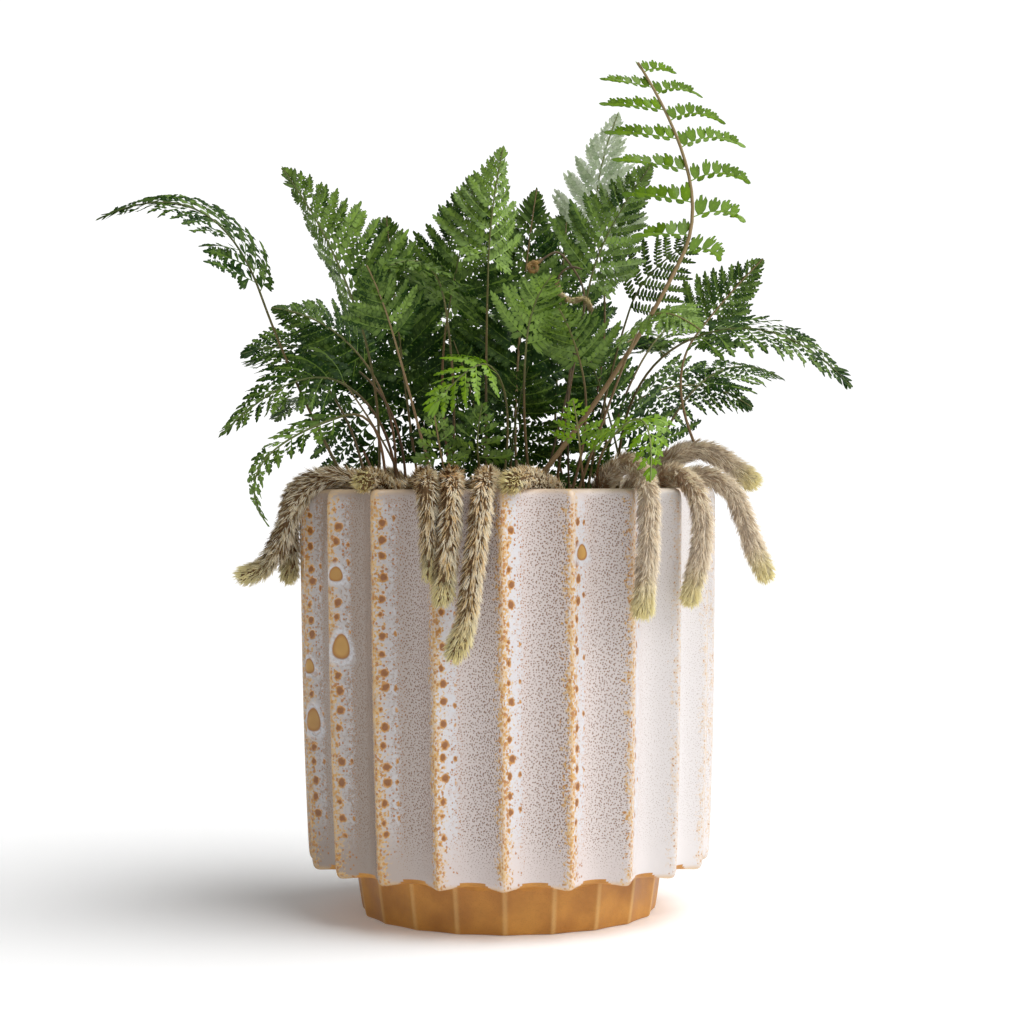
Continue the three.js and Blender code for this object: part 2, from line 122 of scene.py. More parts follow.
# The paths of the rhizomes, from the mix to the growing tip, the radius at the tip, and how
# warm the fur's colour is.
RHIZOMES = {
    "rhizome_left": (3.6, 0.25, [
        [-42, -26, 189], [-60, -27, 191.5], [-77, -29, 196.5], [-90, -30, 191], [-98, -32, 180],
        [-103, -34, 167], [-110, -36, 156], [-122, -38, 151]]),
    "rhizome_left_short": (3.4, 0.15, [
        [-56, 10, 189], [-72, 8, 193], [-86, 6, 196], [-97, 5, 188], [-98, 4, 170],
        [-99, 4, 149]]),
    "rhizome_left_stub": (4, 0.2, [
        [-50, -40, 189], [-56, -50, 192.5], [-61, -61, 195.5], [-66, -75, 194]]),
    "rhizome_front_thin": (3, 0.1, [
        [-42, -50, 189], [-40, -65, 192.5], [-37, -80, 196], [-36, -95, 190], [-35, -97, 172],
        [-34, -97, 149]]),
    "rhizome_front_left": (3.6, 0.35, [
        [-26, -48, 189], [-25, -65, 192.5], [-25, -82, 196], [-25, -97, 190],
        [-26, -101, 172], [-28, -101, 154], [-30, -101, 138]]),
    "rhizome_front_long": (3.6, 0.3, [
        [-6, -46, 189], [-7, -64, 192.5], [-9, -83, 196], [-11, -98, 190],
        [-13, -102, 172], [-16, -102, 150], [-19, -102, 130], [-25, -102, 113]]),
    "rhizome_front_stub": (4.2, 0.3, [
        [23, -56, 189], [16, -70, 192.5], [8, -85, 195.5], [0, -99, 193]]),
    "rhizome_right_arched": (3.6, 0.5, [
        [42, -52, 189], [46, -60, 196], [54, -66, 202], [61, -75, 197], [64, -85, 187],
        [64, -88, 170], [63, -88, 152], [61, -88, 132]]),
    "rhizome_right_front": (3.4, 0.8, [
        [58, -34, 189], [68, -40, 194], [76, -49, 197], [84, -60, 191], [88, -66, 180],
        [88, -66, 164], [85, -66, 150], [82, -66, 138]]),
    "rhizome_right_outer": (3.6, 0.4, [
        [60, -12, 189], [76, -16, 193.5], [90, -20, 196], [101, -24, 190], [107, -26, 178],
        [112, -26, 163], [118, -26, 149]]),
    "rhizome_right_upper": (4, 0.6, [
        [54, 12, 189], [65, 8, 197], [76, 4, 205], [88, 2, 208], [100, 0, 202],
        [113, -2, 192]]),
    "rhizome_back_left": (3.4, 0.2, [
        [-38, 46, 189], [-46, 58, 192.5], [-54, 70, 196], [-60, 82, 190], [-61, 86, 172],
        [-60, 86, 150]]),
    "rhizome_back": (3.6, 0.4, [
        [10, 50, 189], [10, 66, 192.5], [9, 82, 196], [8, 97, 190], [7, 102, 172],
        [5, 102, 150], [2, 102, 128]]),
    "rhizome_back_right": (3.4, 0.5, [
        [48, 42, 189], [56, 52, 192.5], [65, 63, 196], [74, 74, 190], [80, 82, 178],
        [87, 88, 168]]),
    "rhizome_inner_left": (4, 0.2, [
        [-50, 26, 188.5], [-36, 18, 189.5], [-22, 8, 190], [-8, 4, 190]]),
    "rhizome_inner_right": (4, 0.4, [
        [34, 32, 189], [26, 20, 189.8], [18, 6, 190], [14, -12, 190]]),
}

# Each frond's stalk foot, neck (where the blade starts), crown (the point that bends the blade)
# and tip, the blade's full width, the way the upper face looks (a turn from -Y towards +X and a
# tilt above the horizon, in degrees), its habit and how light its green is: partly the frond's own
# green and partly painted shade, lower for the fronds deep in the plant and behind it.
FRONDS = {
    "frond_far_left": (
        [-73, -28, 194], [-111, -30, 279], [-132, -35, 339], [-185, -45, 313],
        48, -10, 66, "open", 0.05),
    "frond_left_tall": (
        [-59, -30], [-66, -42, 266], [-78, -45, 305], [-101, -35, 336],
        72, -15, 5, "full", 0.55),
    "frond_centre_tall": (
        [-9, -22], [-8, -30, 293], [-7, -32, 318], [-1, -30, 345],
        64, 0, 5, "full", 0.7),
    "frond_centre_back": (
        [-22, 8], [-26, 5, 272], [-20, 8, 303], [-13, 5, 333],
        68, -10, 0, "full", 0.22),
    "frond_front_small": (
        [12, -48], [9, -58, 256], [11, -62, 277], [21, -80, 287],
        46, 0, -15, "full", 0.78),
    "frond_right_broad": (
        [21, -8], [38, -22, 284], [43, -25, 306], [66, -20, 337],
        62, 10, 0, "full", 0.44),
    "frond_tall_young": (
        [2, -45], [80, -35, 296], [95, -24, 327], [60, -25, 383],
        70, 10, 15, "young", 0.5),
    "frond_right_upper": (
        [88, 2, 204], [86, 0, 260], [99, 0, 277], [116, -10, 294],
        46, 0, 10, "full", 0.3),
    "frond_right_long": (
        [50, 15], [86, -18, 259], [124, -25, 273], [156, -35, 236],
        46, 15, 58, "open", 0.35),
    "frond_right_low": (
        [48, 42], [60, 45, 231], [87, 50, 245], [111, 45, 227],
        48, 10, 35, "open", 0.4),
    "frond_right_arching": (
        [29, -32], [58, -51, 259], [66, -59, 279], [88, -83, 262],
        58, 10, 50, "full", 0.7),
    "frond_pale_back": (
        [24, 42], [42, 30, 299], [37, 25, 326], [51, 20, 360],
        54, -20, 0, "pale", 0.9),
    "frond_right_comb": (
        [35, 8], [56, 0, 272], [62, -4, 290], [86, -12, 303],
        50, 0, 10, "comb", 0.25),
    "frond_left_streaked": (
        [-26, -32], [-28, -45, 276], [-32, -52, 300], [-52, -80, 292],
        60, -10, 62, "full", 0.4),
    "frond_left_leaning": (
        [-30, -54], [-51, -60, 260], [-56, -64, 278], [-63, -78, 292],
        44, 0, 10, "full", 0.26),
    "frond_left_upper": (
        [-52, 12], [-64, 4, 248], [-80, 2, 270], [-106, -4, 273],
        54, 0, 25, "full", 0.24),
    "frond_left_drooping": (
        [-49, -18], [-73, -30, 238], [-94, -38, 251], [-130, -50, 215],
        42, -15, 60, "open", 0.26),
    "frond_left_middle": (
        [-46, 15], [-71, 22, 247], [-94, 20, 261], [-120, 10, 252],
        48, -15, 30, "open", 0.2),
    "frond_left_curled": (
        [-55, -44], [-74, -52, 224], [-131, -62, 206], [-108, -58, 174],
        22, -20, 45, "open", 0.4),
    "frond_low_grey": (
        [-12, -62], [-13, -70, 205], [-14, -75, 216], [-11, -84, 229],
        28, 0, 20, "fan", 0.34),
    "frond_low_left": (
        [-27, -60], [-29, -68, 202], [-31, -73, 213], [-33, -82, 226],
        26, 0, 20, "fan", 0.5),
    "frond_bright_curl": (
        [-4, -66], [-7, -72, 246], [-14, -84, 252], [-34, -92, 227],
        30, 0, 35, "curl", 0.8),
    "frond_bright_right": (
        [42, -58], [47, -68, 213], [68, -82, 238], [65, -98, 194],
        44, 5, 40, "fresh", 0.9),
    "frond_bright_small": (
        [36, -60], [33, -70, 210], [32, -74, 222], [30, -84, 231],
        30, 0, -15, "fresh", 0.8),
    "frond_centre_behind": (
        [6, 28], [4, 24, 226], [6, 22, 276], [14, 20, 326],
        80, 5, 0, "full", 0.12),
    "frond_centre_rear": (
        [30, 52], [22, 48, 224], [24, 50, 272], [28, 55, 318],
        86, 5, 5, "full", 0.14),
    "frond_low_centre": (
        [-2, 34], [-10, 30, 206], [-14, 24, 232], [-24, 10, 258],
        66, 0, 25, "low", 0.1),
    "frond_low_right": (
        [48, 20], [50, 18, 208], [44, 10, 236], [34, -6, 258],
        64, 5, 20, "low", 0.16),
    "frond_low_inner": (
        [0, 10], [2, 4, 205], [4, -4, 228], [10, -20, 246],
        62, 0, 20, "low", 0.12),
    "frond_mid_right": (
        [26, -40], [34, -48, 245], [30, -55, 262], [24, -75, 272],
        44, 0, -20, "full", 0.42),
    "frond_left_rear": (
        [-38, 42], [-44, 40, 222], [-50, 44, 270], [-54, 46, 314],
        84, -10, 10, "full", 0.1),
    "frond_left_rear_low": (
        [-43, 48], [-56, 44, 212], [-72, 44, 240], [-92, 44, 262],
        70, -20, 20, "low", 0.15),
    "frond_rear_upright": (
        [-12, 50], [-22, 60, 226], [-27, 74, 268], [-30, 95, 303],
        74, 180, -15, "full", 0.5),
    "frond_rear_right": (
        [40, 55], [65, 68, 254], [76, 80, 270], [92, 98, 272],
        56, 0, 90, "full", 0.5),
    "frond_rear_arching_left": (
        [-30, 55], [-50, 85, 255], [-62, 110, 280], [-75, 140, 265],
        56, 0, 90, "full", 0.5),
    "frond_rear_arching": (
        [8, 58], [5, 90, 258], [5, 118, 282], [8, 150, 262],
        58, 0, 90, "full", 0.6),
    "frond_rear_arching_right": (
        [52, 48], [50, 85, 250], [60, 105, 268], [72, 132, 250],
        54, 0, 85, "full", 0.4),
    "frond_rear_low_left": (
        [-55, 35], [-78, 62, 228], [-90, 78, 240], [-105, 95, 222],
        50, 0, 85, "open", 0.4),
    "frond_side_right": (
        [62, 25], [88, 45, 238], [104, 55, 252], [125, 70, 240],
        50, 30, 70, "open", 0.4),
    "frond_side_left": (
        [-62, 5], [-84, 30, 240], [-98, 40, 256], [-118, 52, 248],
        52, -30, 70, "open", 0.4),
}

# How a blade is divided. Rows of leaflets stand apart by a share of the blade's length and a
# number of millimetres. Reach scales the rows, and outline tells how blunt the blade is, 1 for a
# triangle. Angles are those at which the rows leave the rachis at the neck and at the tip, and
# bend how far the rows on the left and right curve towards the blade's tip, in degrees. Leaflet is
# the length of a leaflet as a share of the distance between rows, step the distance between
# leaflets as a share of their length, lower the length of those on the lower side as a share of
# the upper ones, and taper how fast they shrink along a row. Lean is the angle at which the
# leaflets leave their row's stalk, at its foot and at its end. Gather tells how much closer the
# rows stand towards the tip. Roll is the mean and the spread of a row's turn about its stalk in
# degrees, sag a share of the row's length, comb the share of the blade below the simple lobes,
# shape the outline of the leaflets, and stalk the stalk's thickness.
HABITS = {
    "full": {
        "row": (0.05, 3), "reach": 1, "outline": 0.88, "angles": (68, 42), "bend": (14, 14),
        "leaflet": 0.76, "step": 0.66, "lower": 0.92, "taper": 0.42, "shape": "leaflet",
        "lean": (60, 44), "gather": 0.4, "roll": (-9, 14), "sag": 0.14, "comb": 0.84, "stalk": 1},
    "low": {
        "row": (0.06, 3.2), "reach": 1, "outline": 0.8, "angles": (112, 50), "bend": (10, 10),
        "leaflet": 0.8, "step": 0.68, "lower": 0.9, "taper": 0.5, "shape": "wedge",
        "lean": (60, 44), "gather": 0.4, "roll": (-5, 18), "sag": 0.25, "comb": 0.84, "stalk": 0.9},
    "open": {
        "row": (0.06, 3), "reach": 1.05, "outline": 0.8, "angles": (62, 30), "bend": (10, 10),
        "leaflet": 0.72, "step": 0.72, "lower": 0.8, "taper": 0.6, "shape": "wedge",
        "lean": (60, 44), "gather": 0.4, "roll": (-4, 10), "sag": 0.05, "comb": 0.84, "stalk": 1},
    "comb": {
        "row": (0.1, 2), "reach": 1, "outline": 0.8, "angles": (66, 44), "bend": (8, 8),
        "leaflet": 0.6, "step": 0.5, "lower": 0.5, "taper": 0.35, "shape": "lobe",
        "lean": (74, 60), "gather": 0.3, "roll": (0, 10), "sag": 0.08, "comb": 0.86, "stalk": 1},
    "pale": {
        "row": (0.05, 2.8), "reach": 1, "outline": 0.9, "angles": (62, 42), "bend": (12, 12),
        "leaflet": 0.76, "step": 0.68, "lower": 0.9, "taper": 0.5, "shape": "leaflet",
        "lean": (60, 44), "gather": 0.4, "roll": (-8, 12), "sag": 0.1, "comb": 0.86, "stalk": 1},
    "young": {
        "row": (0.18, 1), "reach": 1.05, "outline": 0.38, "angles": (74, 62), "bend": (-6, -62),
        "leaflet": 0.48, "step": 0.74, "lower": 0.3, "taper": 0.6, "shape": "leaflet",
        "lean": (78, 54), "gather": 0.45, "roll": (0, 7), "sag": 0.08, "comb": 0.95,
        "stalk": 1.8},
    "fresh": {
        "row": (0.08, 3), "reach": 0.84, "outline": 0.8, "angles": (78, 46), "bend": (6, -6),
        "leaflet": 0.78, "step": 0.7, "lower": 0.85, "taper": 0.6, "shape": "wedge",
        "lean": (60, 44), "gather": 0.3, "roll": (8, 18), "sag": 0.25, "comb": 0.86, "stalk": 0.9},
    "curl": {
        "row": (0.12, 2), "reach": 1.15, "outline": 0.6, "angles": (62, 14), "bend": (0, 0),
        "leaflet": 0.62, "step": 0.74, "lower": 0.8, "taper": 0.7, "shape": "wedge",
        "lean": (50, 34), "gather": 0.3, "roll": (6, 16), "sag": 0.15, "comb": 0.86, "stalk": 0.9},
    "fan": {
        "row": (0.13, 2), "reach": 0.74, "outline": 0.5, "angles": (96, 30), "bend": (16, 16),
        "leaflet": 0.95, "step": 0.6, "lower": 0.9, "taper": 0.35, "shape": "wedge",
        "lean": (56, 40), "gather": 0.2, "roll": (0, 14), "sag": 0.2, "comb": 0.8, "stalk": 0.9},
}

YOUNG_HABITS = ("young", "fresh", "curl")
YOUNG_WAIST = 0.5  # reach of the tall young frond's lowest rows, against the rows above them

# How far the halves of a folded blade are turned up, in degrees: the one on the left of a viewer
# who looks at the upper face, with the tip at the top, and the other.
FOLDS = {
    "frond_left_tall": (-52, 4),
    "frond_centre_tall": (-8, -50),
    "frond_left_upper": (-20, -12),
    "frond_right_upper": (12, -25),
    "frond_right_broad": (-10, -18),
    "frond_front_small": (-6, -6),
}

# How far a blade is turned about its rachis at the neck, in degrees, less and less to its tip.
TWISTS = {
    "frond_far_left": -30,
    "frond_left_drooping": -50,
}

KNEE_SHARE = 0.45  # of a stalk's length, where it turns to follow the blade
STALK_FOOT = 180  # height where a stalk starts, in the mix
WIDEST = 0.2  # share of the blade's length where it is widest
FIRST_ROW = 0.012  # share of the blade's length below the lowest row
LAST_LOBE = 0.985  # share of the blade's length where the simple lobes end
SHORTEST_ROW = 3  # a shorter row is one simple lobe
SHORTEST_TOOTHED = 2.3  # a shorter leaflet is a simple lobe
UPPER_PAINTED_LIGHT, LOWER_PAINTED_SHADE = 0.05, -0.17  # painted light and shade, lighter on the upper side of a row and darker on the lower

# Leaflets are darker the further they lie below one height and behind one depth, and darkest
# these distances past them.
SHADED_BELOW, DARKEST_BELOW = 284, 48
SHADED_BEHIND, DARKEST_BEHIND = -50, 25

# Corners of the leaflets, one unit long and wide, from the left of the foot round the teeth: those
# of the dense blades, those that narrow to their foot, and the plain lobes near the tips.
OUTLINES = {
    "leaflet": [
        [-0.2, 0], [-0.5, 0.26], [-0.6, 0.62], [-0.42, 0.86], [-0.27, 0.67], [-0.18, 1],
        [0.06, 1.04], [0.14, 0.72], [0.36, 0.94], [0.56, 0.68], [0.46, 0.24], [0.2, 0]],
    "wedge": [
        [-0.09, 0], [-0.28, 0.3], [-0.54, 0.62], [-0.48, 0.84], [-0.29, 0.74], [-0.22, 0.98],
        [0.05, 1.02], [0.12, 0.79], [0.34, 0.92], [0.52, 0.7], [0.3, 0.3], [0.09, 0]],
    "lobe": [
        [-0.36, 0], [-0.5, 0.4], [-0.34, 0.82], [0.04, 1], [0.28, 0.76], [0.42, 0.36], [0.36, 0]],
}

# The rolled-up fronds: foot and path of the stalk, and the coil at its end with its centre, its
# radius, the angle at which it starts in degrees and the way it winds.
CROZIERS = {
    "crozier_left": (
        [14, -14], [[33.5, -30, 262], [35, -33, 280], [29, -35, 292], [23, -36, 297.5]],
        [12.5, -38, 290.7], 2.1, 60, 1),
    "crozier_right": (
        [28, -16], [[29, -38, 245], [38, -45, 272]],
        [31, -46, 283.5], 7, -60, -1),
}


class FernPlanterSettings(bpy.types.PropertyGroup):
    flutes: bpy.props.IntProperty(
        name="Flutes", description="Number of flutes round the planter", default=20, min=3)
    first_ridge: bpy.props.FloatProperty(
        name="First Ridge", description="Turn of one ridge from the front, towards +X",
        default=math.radians(-1.6), subtype="ANGLE")
    lip_rise: bpy.props.FloatProperty(
        name="Lip Rise", description="How much the lower lip climbs between two ridges",
        default=0.0012, unit="LENGTH")
    glaze: bpy.props.FloatVectorProperty(
        name="Glaze", description="Pinkish grey ground of the glaze", subtype="COLOR",
        default=(0.68, 0.6, 0.575), min=0, max=1)
    # Painted shade: the darker, browner ground of the glaze on the side away from the light
    painted_shading: bpy.props.FloatVectorProperty(
        name="Shade", description="Browner ground on one side of the planter", subtype="COLOR",
        default=(0.37, 0.295, 0.24), min=0, max=1)
    milk: bpy.props.FloatVectorProperty(
        name="Milk", description="Bluish white where the glaze runs thick", subtype="COLOR",
        default=(0.67, 0.67, 0.7), min=0, max=1)
    crest: bpy.props.FloatVectorProperty(
        name="Crest", description="Tan where the glaze is thin on the ridges", subtype="COLOR",
        default=(0.7, 0.47, 0.22), min=0, max=1)
    pinhole: bpy.props.FloatVectorProperty(
        name="Pinhole", description="Brown of the finest specks", subtype="COLOR",
        default=(0.2, 0.085, 0.022), min=0, max=1)
    spot: bpy.props.FloatVectorProperty(
        name="Spot", description="Dark brown in the middle of the larger spots",
        subtype="COLOR", default=(0.27, 0.09, 0.01), min=0, max=1)
    clay: bpy.props.FloatVectorProperty(
        name="Clay", description="Ochre of the bare foot", subtype="COLOR",
        default=(0.62, 0.29, 0.05), min=0, max=1)


class FernMixSettings(bpy.types.PropertyGroup):
    edge_height: bpy.props.FloatProperty(
        name="Edge Height", description="Height of the mix along the wall",
        default=0.183, unit="LENGTH")
    crown_height: bpy.props.FloatProperty(
        name="Crown Height", description="Height of the mix in the middle",
        default=0.186, unit="LENGTH")
    chips: bpy.props.IntProperty(
        name="Chips", description="Number of bark chips on the mix", default=260, min=0)
    colour: bpy.props.FloatVectorProperty(
        name="Colour", description="Brown of the moist mix", subtype="COLOR",
        default=(0.035, 0.02, 0.012), min=0, max=1)


class FernRhizomeSettings(bpy.types.PropertyGroup):
    radius: bpy.props.FloatProperty(
        name="Radius", description="Radius under the fur", default=0.0034, unit="LENGTH")
    hair_length: bpy.props.FloatProperty(
        name="Hair Length", description="Length of one hair", default=0.0045, unit="LENGTH")
    hair_width: bpy.props.FloatProperty(
        name="Hair Width", description="Width of one hair at its root", default=0.00056,
        unit="LENGTH")
    density: bpy.props.FloatProperty(
        name="Density", description="Hairs on each square millimetre", default=1.7)
    straw: bpy.props.FloatVectorProperty(
        name="Straw", description="Pale colour of the hair ends", subtype="COLOR",
        default=(0.97, 0.8, 0.48), min=0, max=1)
    rust: bpy.props.FloatVectorProperty(
        name="Rust", description="Warm colour of the older hairs", subtype="COLOR",
        default=(0.82, 0.43, 0.17), min=0, max=1)
    bark: bpy.props.FloatVectorProperty(
        name="Bark", description="Dark brown at the roots of the hairs", subtype="COLOR",
        default=(0.25, 0.15, 0.07), min=0, max=1)
    sprout: bpy.props.FloatVectorProperty(
        name="Sprout", description="Pale yellow green of the growing tips", subtype="COLOR",
        default=(0.95, 0.9, 0.56), min=0, max=1)


class FernFrondSettings(bpy.types.PropertyGroup):
    stalk_radius: bpy.props.FloatProperty(
        name="Stalk Radius", description="Radius of a stalk at its foot", default=0.00072,
        unit="LENGTH")
    inner_shade: bpy.props.FloatProperty(
        name="Inner Shade", description="How much darker the green is deep inside the plant",
        default=0.6, min=0, max=1)
    leaf_dark: bpy.props.FloatVectorProperty(
        name="Dark Green", description="Darkest green of a mature leaflet", subtype="COLOR",
        default=(0.01, 0.042, 0.002), min=0, max=1)
    leaf_light: bpy.props.FloatVectorProperty(
        name="Light Green", description="Lightest green of a mature leaflet", subtype="COLOR",
        default=(0.27, 0.43, 0.06), min=0, max=1)
    young: bpy.props.FloatVectorProperty(
        name="Young Green", description="Green of a young leaflet", subtype="COLOR",
        default=(0.25, 0.42, 0.012), min=0, max=1)
    stalk: bpy.props.FloatVectorProperty(
        name="Stalk", description="Reddish brown of the stalks", subtype="COLOR",
        default=(0.12, 0.058, 0.024), min=0, max=1)


class FernStageSettings(bpy.types.PropertyGroup):
    distance: bpy.props.FloatProperty(
        name="Distance", description="Camera's distance from the planter's axis",
        default=1.095, unit="LENGTH")
    height: bpy.props.FloatProperty(
        name="Height", description="Camera's height above the floor", default=0.196,
        unit="LENGTH")
    lens: bpy.props.FloatProperty(
        name="Lens", description="Focal length of the camera in millimetres", default=85)
    pitch: bpy.props.FloatProperty(
        name="Pitch", description="How far the camera looks down",
        default=math.radians(0.83), subtype="ANGLE")
    pan: bpy.props.FloatProperty(
        name="Pan", description="How far the camera looks right of the planter's axis",
        default=math.radians(0.12), subtype="ANGLE")
    roll: bpy.props.FloatProperty(
        name="Roll", description="How far the camera leans", default=math.radians(0.25),
        subtype="ANGLE")
    key_turn: bpy.props.FloatProperty(
        name="Key Turn", description="Turn of the soft light from the front towards +X",
        default=math.radians(72), subtype="ANGLE")
    key_height: bpy.props.FloatProperty(
        name="Key Height", description="Height of the soft light above the floor",
        default=math.radians(50), subtype="ANGLE")
    key_size: bpy.props.FloatProperty(
        name="Key Size", description="Width of the soft light as seen from the plant",
        default=math.radians(70), subtype="ANGLE")
    key_strength: bpy.props.FloatProperty(
        name="Key Strength", description="Strength of the soft light", default=3.6)
    floor_glow: bpy.props.FloatProperty(
        name="Floor Glow", description="Light of the floor itself", default=0.12)
    sky: bpy.props.FloatProperty(
        name="Sky", description="Brightness of the white room", default=0.22)


# Shader building

def node(tree, kind, sockets=None, **settings):
    made = tree.nodes.new(kind)
    for name, value in settings.items():
        setattr(made, name, value)
    for key, value in (sockets or {}).items():
        if isinstance(value, bpy.types.NodeSocket):
            tree.links.new(value, made.inputs[key])
        else:
            made.inputs[key].default_value = value
    return made


def maths(tree, operation, first, second=0.0, third=0.0, clamp=False):
    sockets = {0: first, 1: second, 2: third}
    made = node(tree, "ShaderNodeMath", sockets, operation=operation, use_clamp=clamp)
    return made.outputs[0]


def times(tree, first, *others):
    """The product of all these values."""
    for value in others:
        first = maths(tree, "MULTIPLY", first, value)
    return first


def fade(tree, value, start, end, low=0.0, high=1.0):
    """A smooth step from low to high while value goes from start to end."""
    sockets = {"Value": value, "From Min": start, "From Max": end, "To Min": low, "To Max": high}
    made = node(tree, "ShaderNodeMapRange", sockets, interpolation_type="SMOOTHSTEP")
    return made.outputs["Result"]


def blend(tree, factor, first, second):
    """Colour first where the factor is 0 and second where it is 1."""
    sockets = {0: factor, 6: first, 7: second}
    return node(tree, "ShaderNodeMix", sockets, data_type="RGBA").outputs[2]


def rgba(colour):
    return (*colour, 1.0)


def attribute(tree, name):
    return node(tree, "ShaderNodeAttribute", attribute_name=name).outputs["Fac"]


def new_group(name, inputs, outputs):
    """An empty node group with its sockets, and its input and output nodes. The socket called
    Vector is a vector, and all the others are numbers."""
    group = bpy.data.node_groups.new(name, "ShaderNodeTree")
    for socket in inputs:
        kind = "NodeSocketVector" if socket == "Vector" else "NodeSocketFloat"
        group.interface.new_socket(socket, in_out="INPUT", socket_type=kind)
    for socket in outputs:
        group.interface.new_socket(socket, in_out="OUTPUT", socket_type="NodeSocketFloat")
    entry = group.nodes.new("NodeGroupInput").outputs
    leave = group.nodes.new("NodeGroupOutput").inputs
    return group, entry, leave


def place_group(tree, group, sockets):
    return node(tree, "ShaderNodeGroup", sockets, node_tree=group).outputs


HALF_FLUTE = 0.0149  # metres round the planter
FLUTE_SHIFT = 0.037  # metres that the pattern moves on from flute to flute, so that none repeats


def ridge_group():
    """Where a point lies on the flutes: 0 to 1 across one flute, the flute's number, the turn
    round the planter, the height, and the way along the unrolled wall in metres."""
    name = "Ridge Phase"
    if name in bpy.data.node_groups:
        return bpy.data.node_groups[name]
    outputs = ["Phase", "Ridge", "Turn", "Height", "Arc"]
    group, entry, leave = new_group(name, ["Vector", "Flutes", "First Ridge"], outputs)
    parts = node(group, "ShaderNodeSeparateXYZ", {0: entry["Vector"]}).outputs
    front = times(group, parts["Y"], -1)
    turn = maths(group, "ARCTAN2", parts["X"], front)
    offset = maths(group, "SUBTRACT", turn, entry["First Ridge"])
    per_turn = maths(group, "DIVIDE", entry["Flutes"], 2 * math.pi)
    turns = times(group, offset, per_turn)
    phase = maths(group, "FRACT", turns)
    ridge = maths(group, "FLOOR", turns)
    across = maths(group, "MULTIPLY_ADD", phase, 2, -1)
    cube = times(group, across, times(group, across, across))
    curved = maths(group, "MULTIPLY_ADD", cube, 0.2, across)
    shift = times(group, ridge, FLUTE_SHIFT)
    arc = maths(group, "MULTIPLY_ADD", curved, HALF_FLUTE, shift)
    for label, value in zip(outputs, (phase, ridge, turn, parts["Z"], arc)):
        group.links.new(value, leave[label])
    return group


def speck_group():
    """Round specks of one size, scattered at random."""
    name = "Specks"
    if name in bpy.data.node_groups:
        return bpy.data.node_groups[name]
    group, entry, leave = new_group(name, ["Vector", "Scale", "Size", "Softness"], ["Mask"])
    sockets = {"Vector": entry["Vector"], "Scale": entry["Scale"]}
    cells = node(group, "ShaderNodeTexVoronoi", sockets).outputs["Distance"]
    inner = maths(group, "SUBTRACT", entry["Size"], entry["Softness"])
    mask = fade(group, cells, entry["Size"], inner)
    some = maths(group, "GREATER_THAN", entry["Size"], 0.02)
    group.links.new(times(group, mask, some), leave["Mask"])
    return group


def mottle_group():
    """Cloudy variation between 0 and 1."""
    name = "Mottle"
    if name in bpy.data.node_groups:
        return bpy.data.node_groups[name]
    inputs = ["Vector", "Scale", "Detail", "Low", "High"]
    group, entry, leave = new_group(name, inputs, ["Value"])
    sockets = {key: entry[key] for key in ("Vector", "Scale", "Detail")}
    cloud = node(group, "ShaderNodeTexNoise", sockets).outputs[0]
    group.links.new(fade(group, cloud, entry["Low"], entry["High"]), leave["Value"])
    return group


def drop_group():
    """One oval glaze drop at a turn and height, its core inside a darker rim, and a halo."""
    name = "Glaze Drop"
    if name in bpy.data.node_groups:
        return bpy.data.node_groups[name]
    inputs = ["Turn", "Height", "At Turn", "At Height", "Half Turn", "Half Height"]
    group, entry, leave = new_group(name, inputs, ["Mask", "Core", "Halo"])
    across = maths(group, "SUBTRACT", entry["Turn"], entry["At Turn"])
    across = maths(group, "DIVIDE", across, entry["Half Turn"])
    along = maths(group, "SUBTRACT", entry["Height"], entry["At Height"])
    along = maths(group, "DIVIDE", along, entry["Half Height"])
    taper = maths(group, "MULTIPLY_ADD", along, 0.3, 1)
    across = times(group, across, taper)
    square = times(group, across, across)
    away = maths(group, "SQRT", maths(group, "MULTIPLY_ADD", along, along, square))
    group.links.new(fade(group, away, 1.08, 0.9), leave["Mask"])
    group.links.new(fade(group, away, 0.95, 0.6), leave["Core"])
    group.links.new(fade(group, away, 1.9, 1.2), leave["Halo"])
    return group


def mottle(tree, vector, scale, detail, low, high):
    sockets = {"Vector": vector, "Scale": scale, "Detail": detail, "Low": low, "High": high}
    return place_group(tree, mottle_group(), sockets)["Value"]


def specks(tree, vector, scale, size, softness):
    sockets = {"Vector": vector, "Scale": scale, "Size": size, "Softness": softness}
    return place_group(tree, speck_group(), sockets)["Mask"]


def stretched(tree, vector, scale):
    sockets = {"Vector": vector, "Scale": scale}
    return node(tree, "ShaderNodeMapping", sockets).outputs[0]


def scattered(tree, vector, scale, randomness):
    """Cells on a flat vector: the distance to the middle of the nearest, and its chance value."""
    sockets = {"Vector": vector, "Scale": scale, "Randomness": randomness}
    cells = node(tree, "ShaderNodeTexVoronoi", sockets, voronoi_dimensions="2D").outputs
    chance = node(tree, "ShaderNodeSeparateColor", {0: cells["Color"]}).outputs[0]
    return cells["Distance"], chance


def object_place(tree):
    return node(tree, "ShaderNodeTexCoord").outputs["Object"]


def planter_ridge(tree, place, settings):
    sockets = {"Vector": place, "Flutes": settings.flutes, "First Ridge": settings.first_ridge}
    return place_group(tree, ridge_group(), sockets)


def new_material(name):
    material = bpy.data.materials.new(name)
    material.use_nodes = True
    tree = material.node_tree
    return material, tree, tree.nodes["Principled BSDF"]


def add_bump(tree, shader, height, distance, strength=1.0):
    sockets = {"Height": height, "Distance": distance, "Strength": strength}
    bump = node(tree, "ShaderNodeBump", sockets)
    tree.links.new(bump.outputs[0], shader.inputs["Normal"])


def let_light_through(tree, shader, colour, share):
    """Mixes light that shines through a thin piece into its shader."""
    thin = node(tree, "ShaderNodeBsdfTranslucent", {"Color": colour}).outputs[0]
    sockets = {0: share, 1: shader.outputs[0], 2: thin}
    mixed = node(tree, "ShaderNodeMixShader", sockets).outputs[0]
    tree.links.new(mixed, tree.nodes["Material Output"].inputs["Surface"])


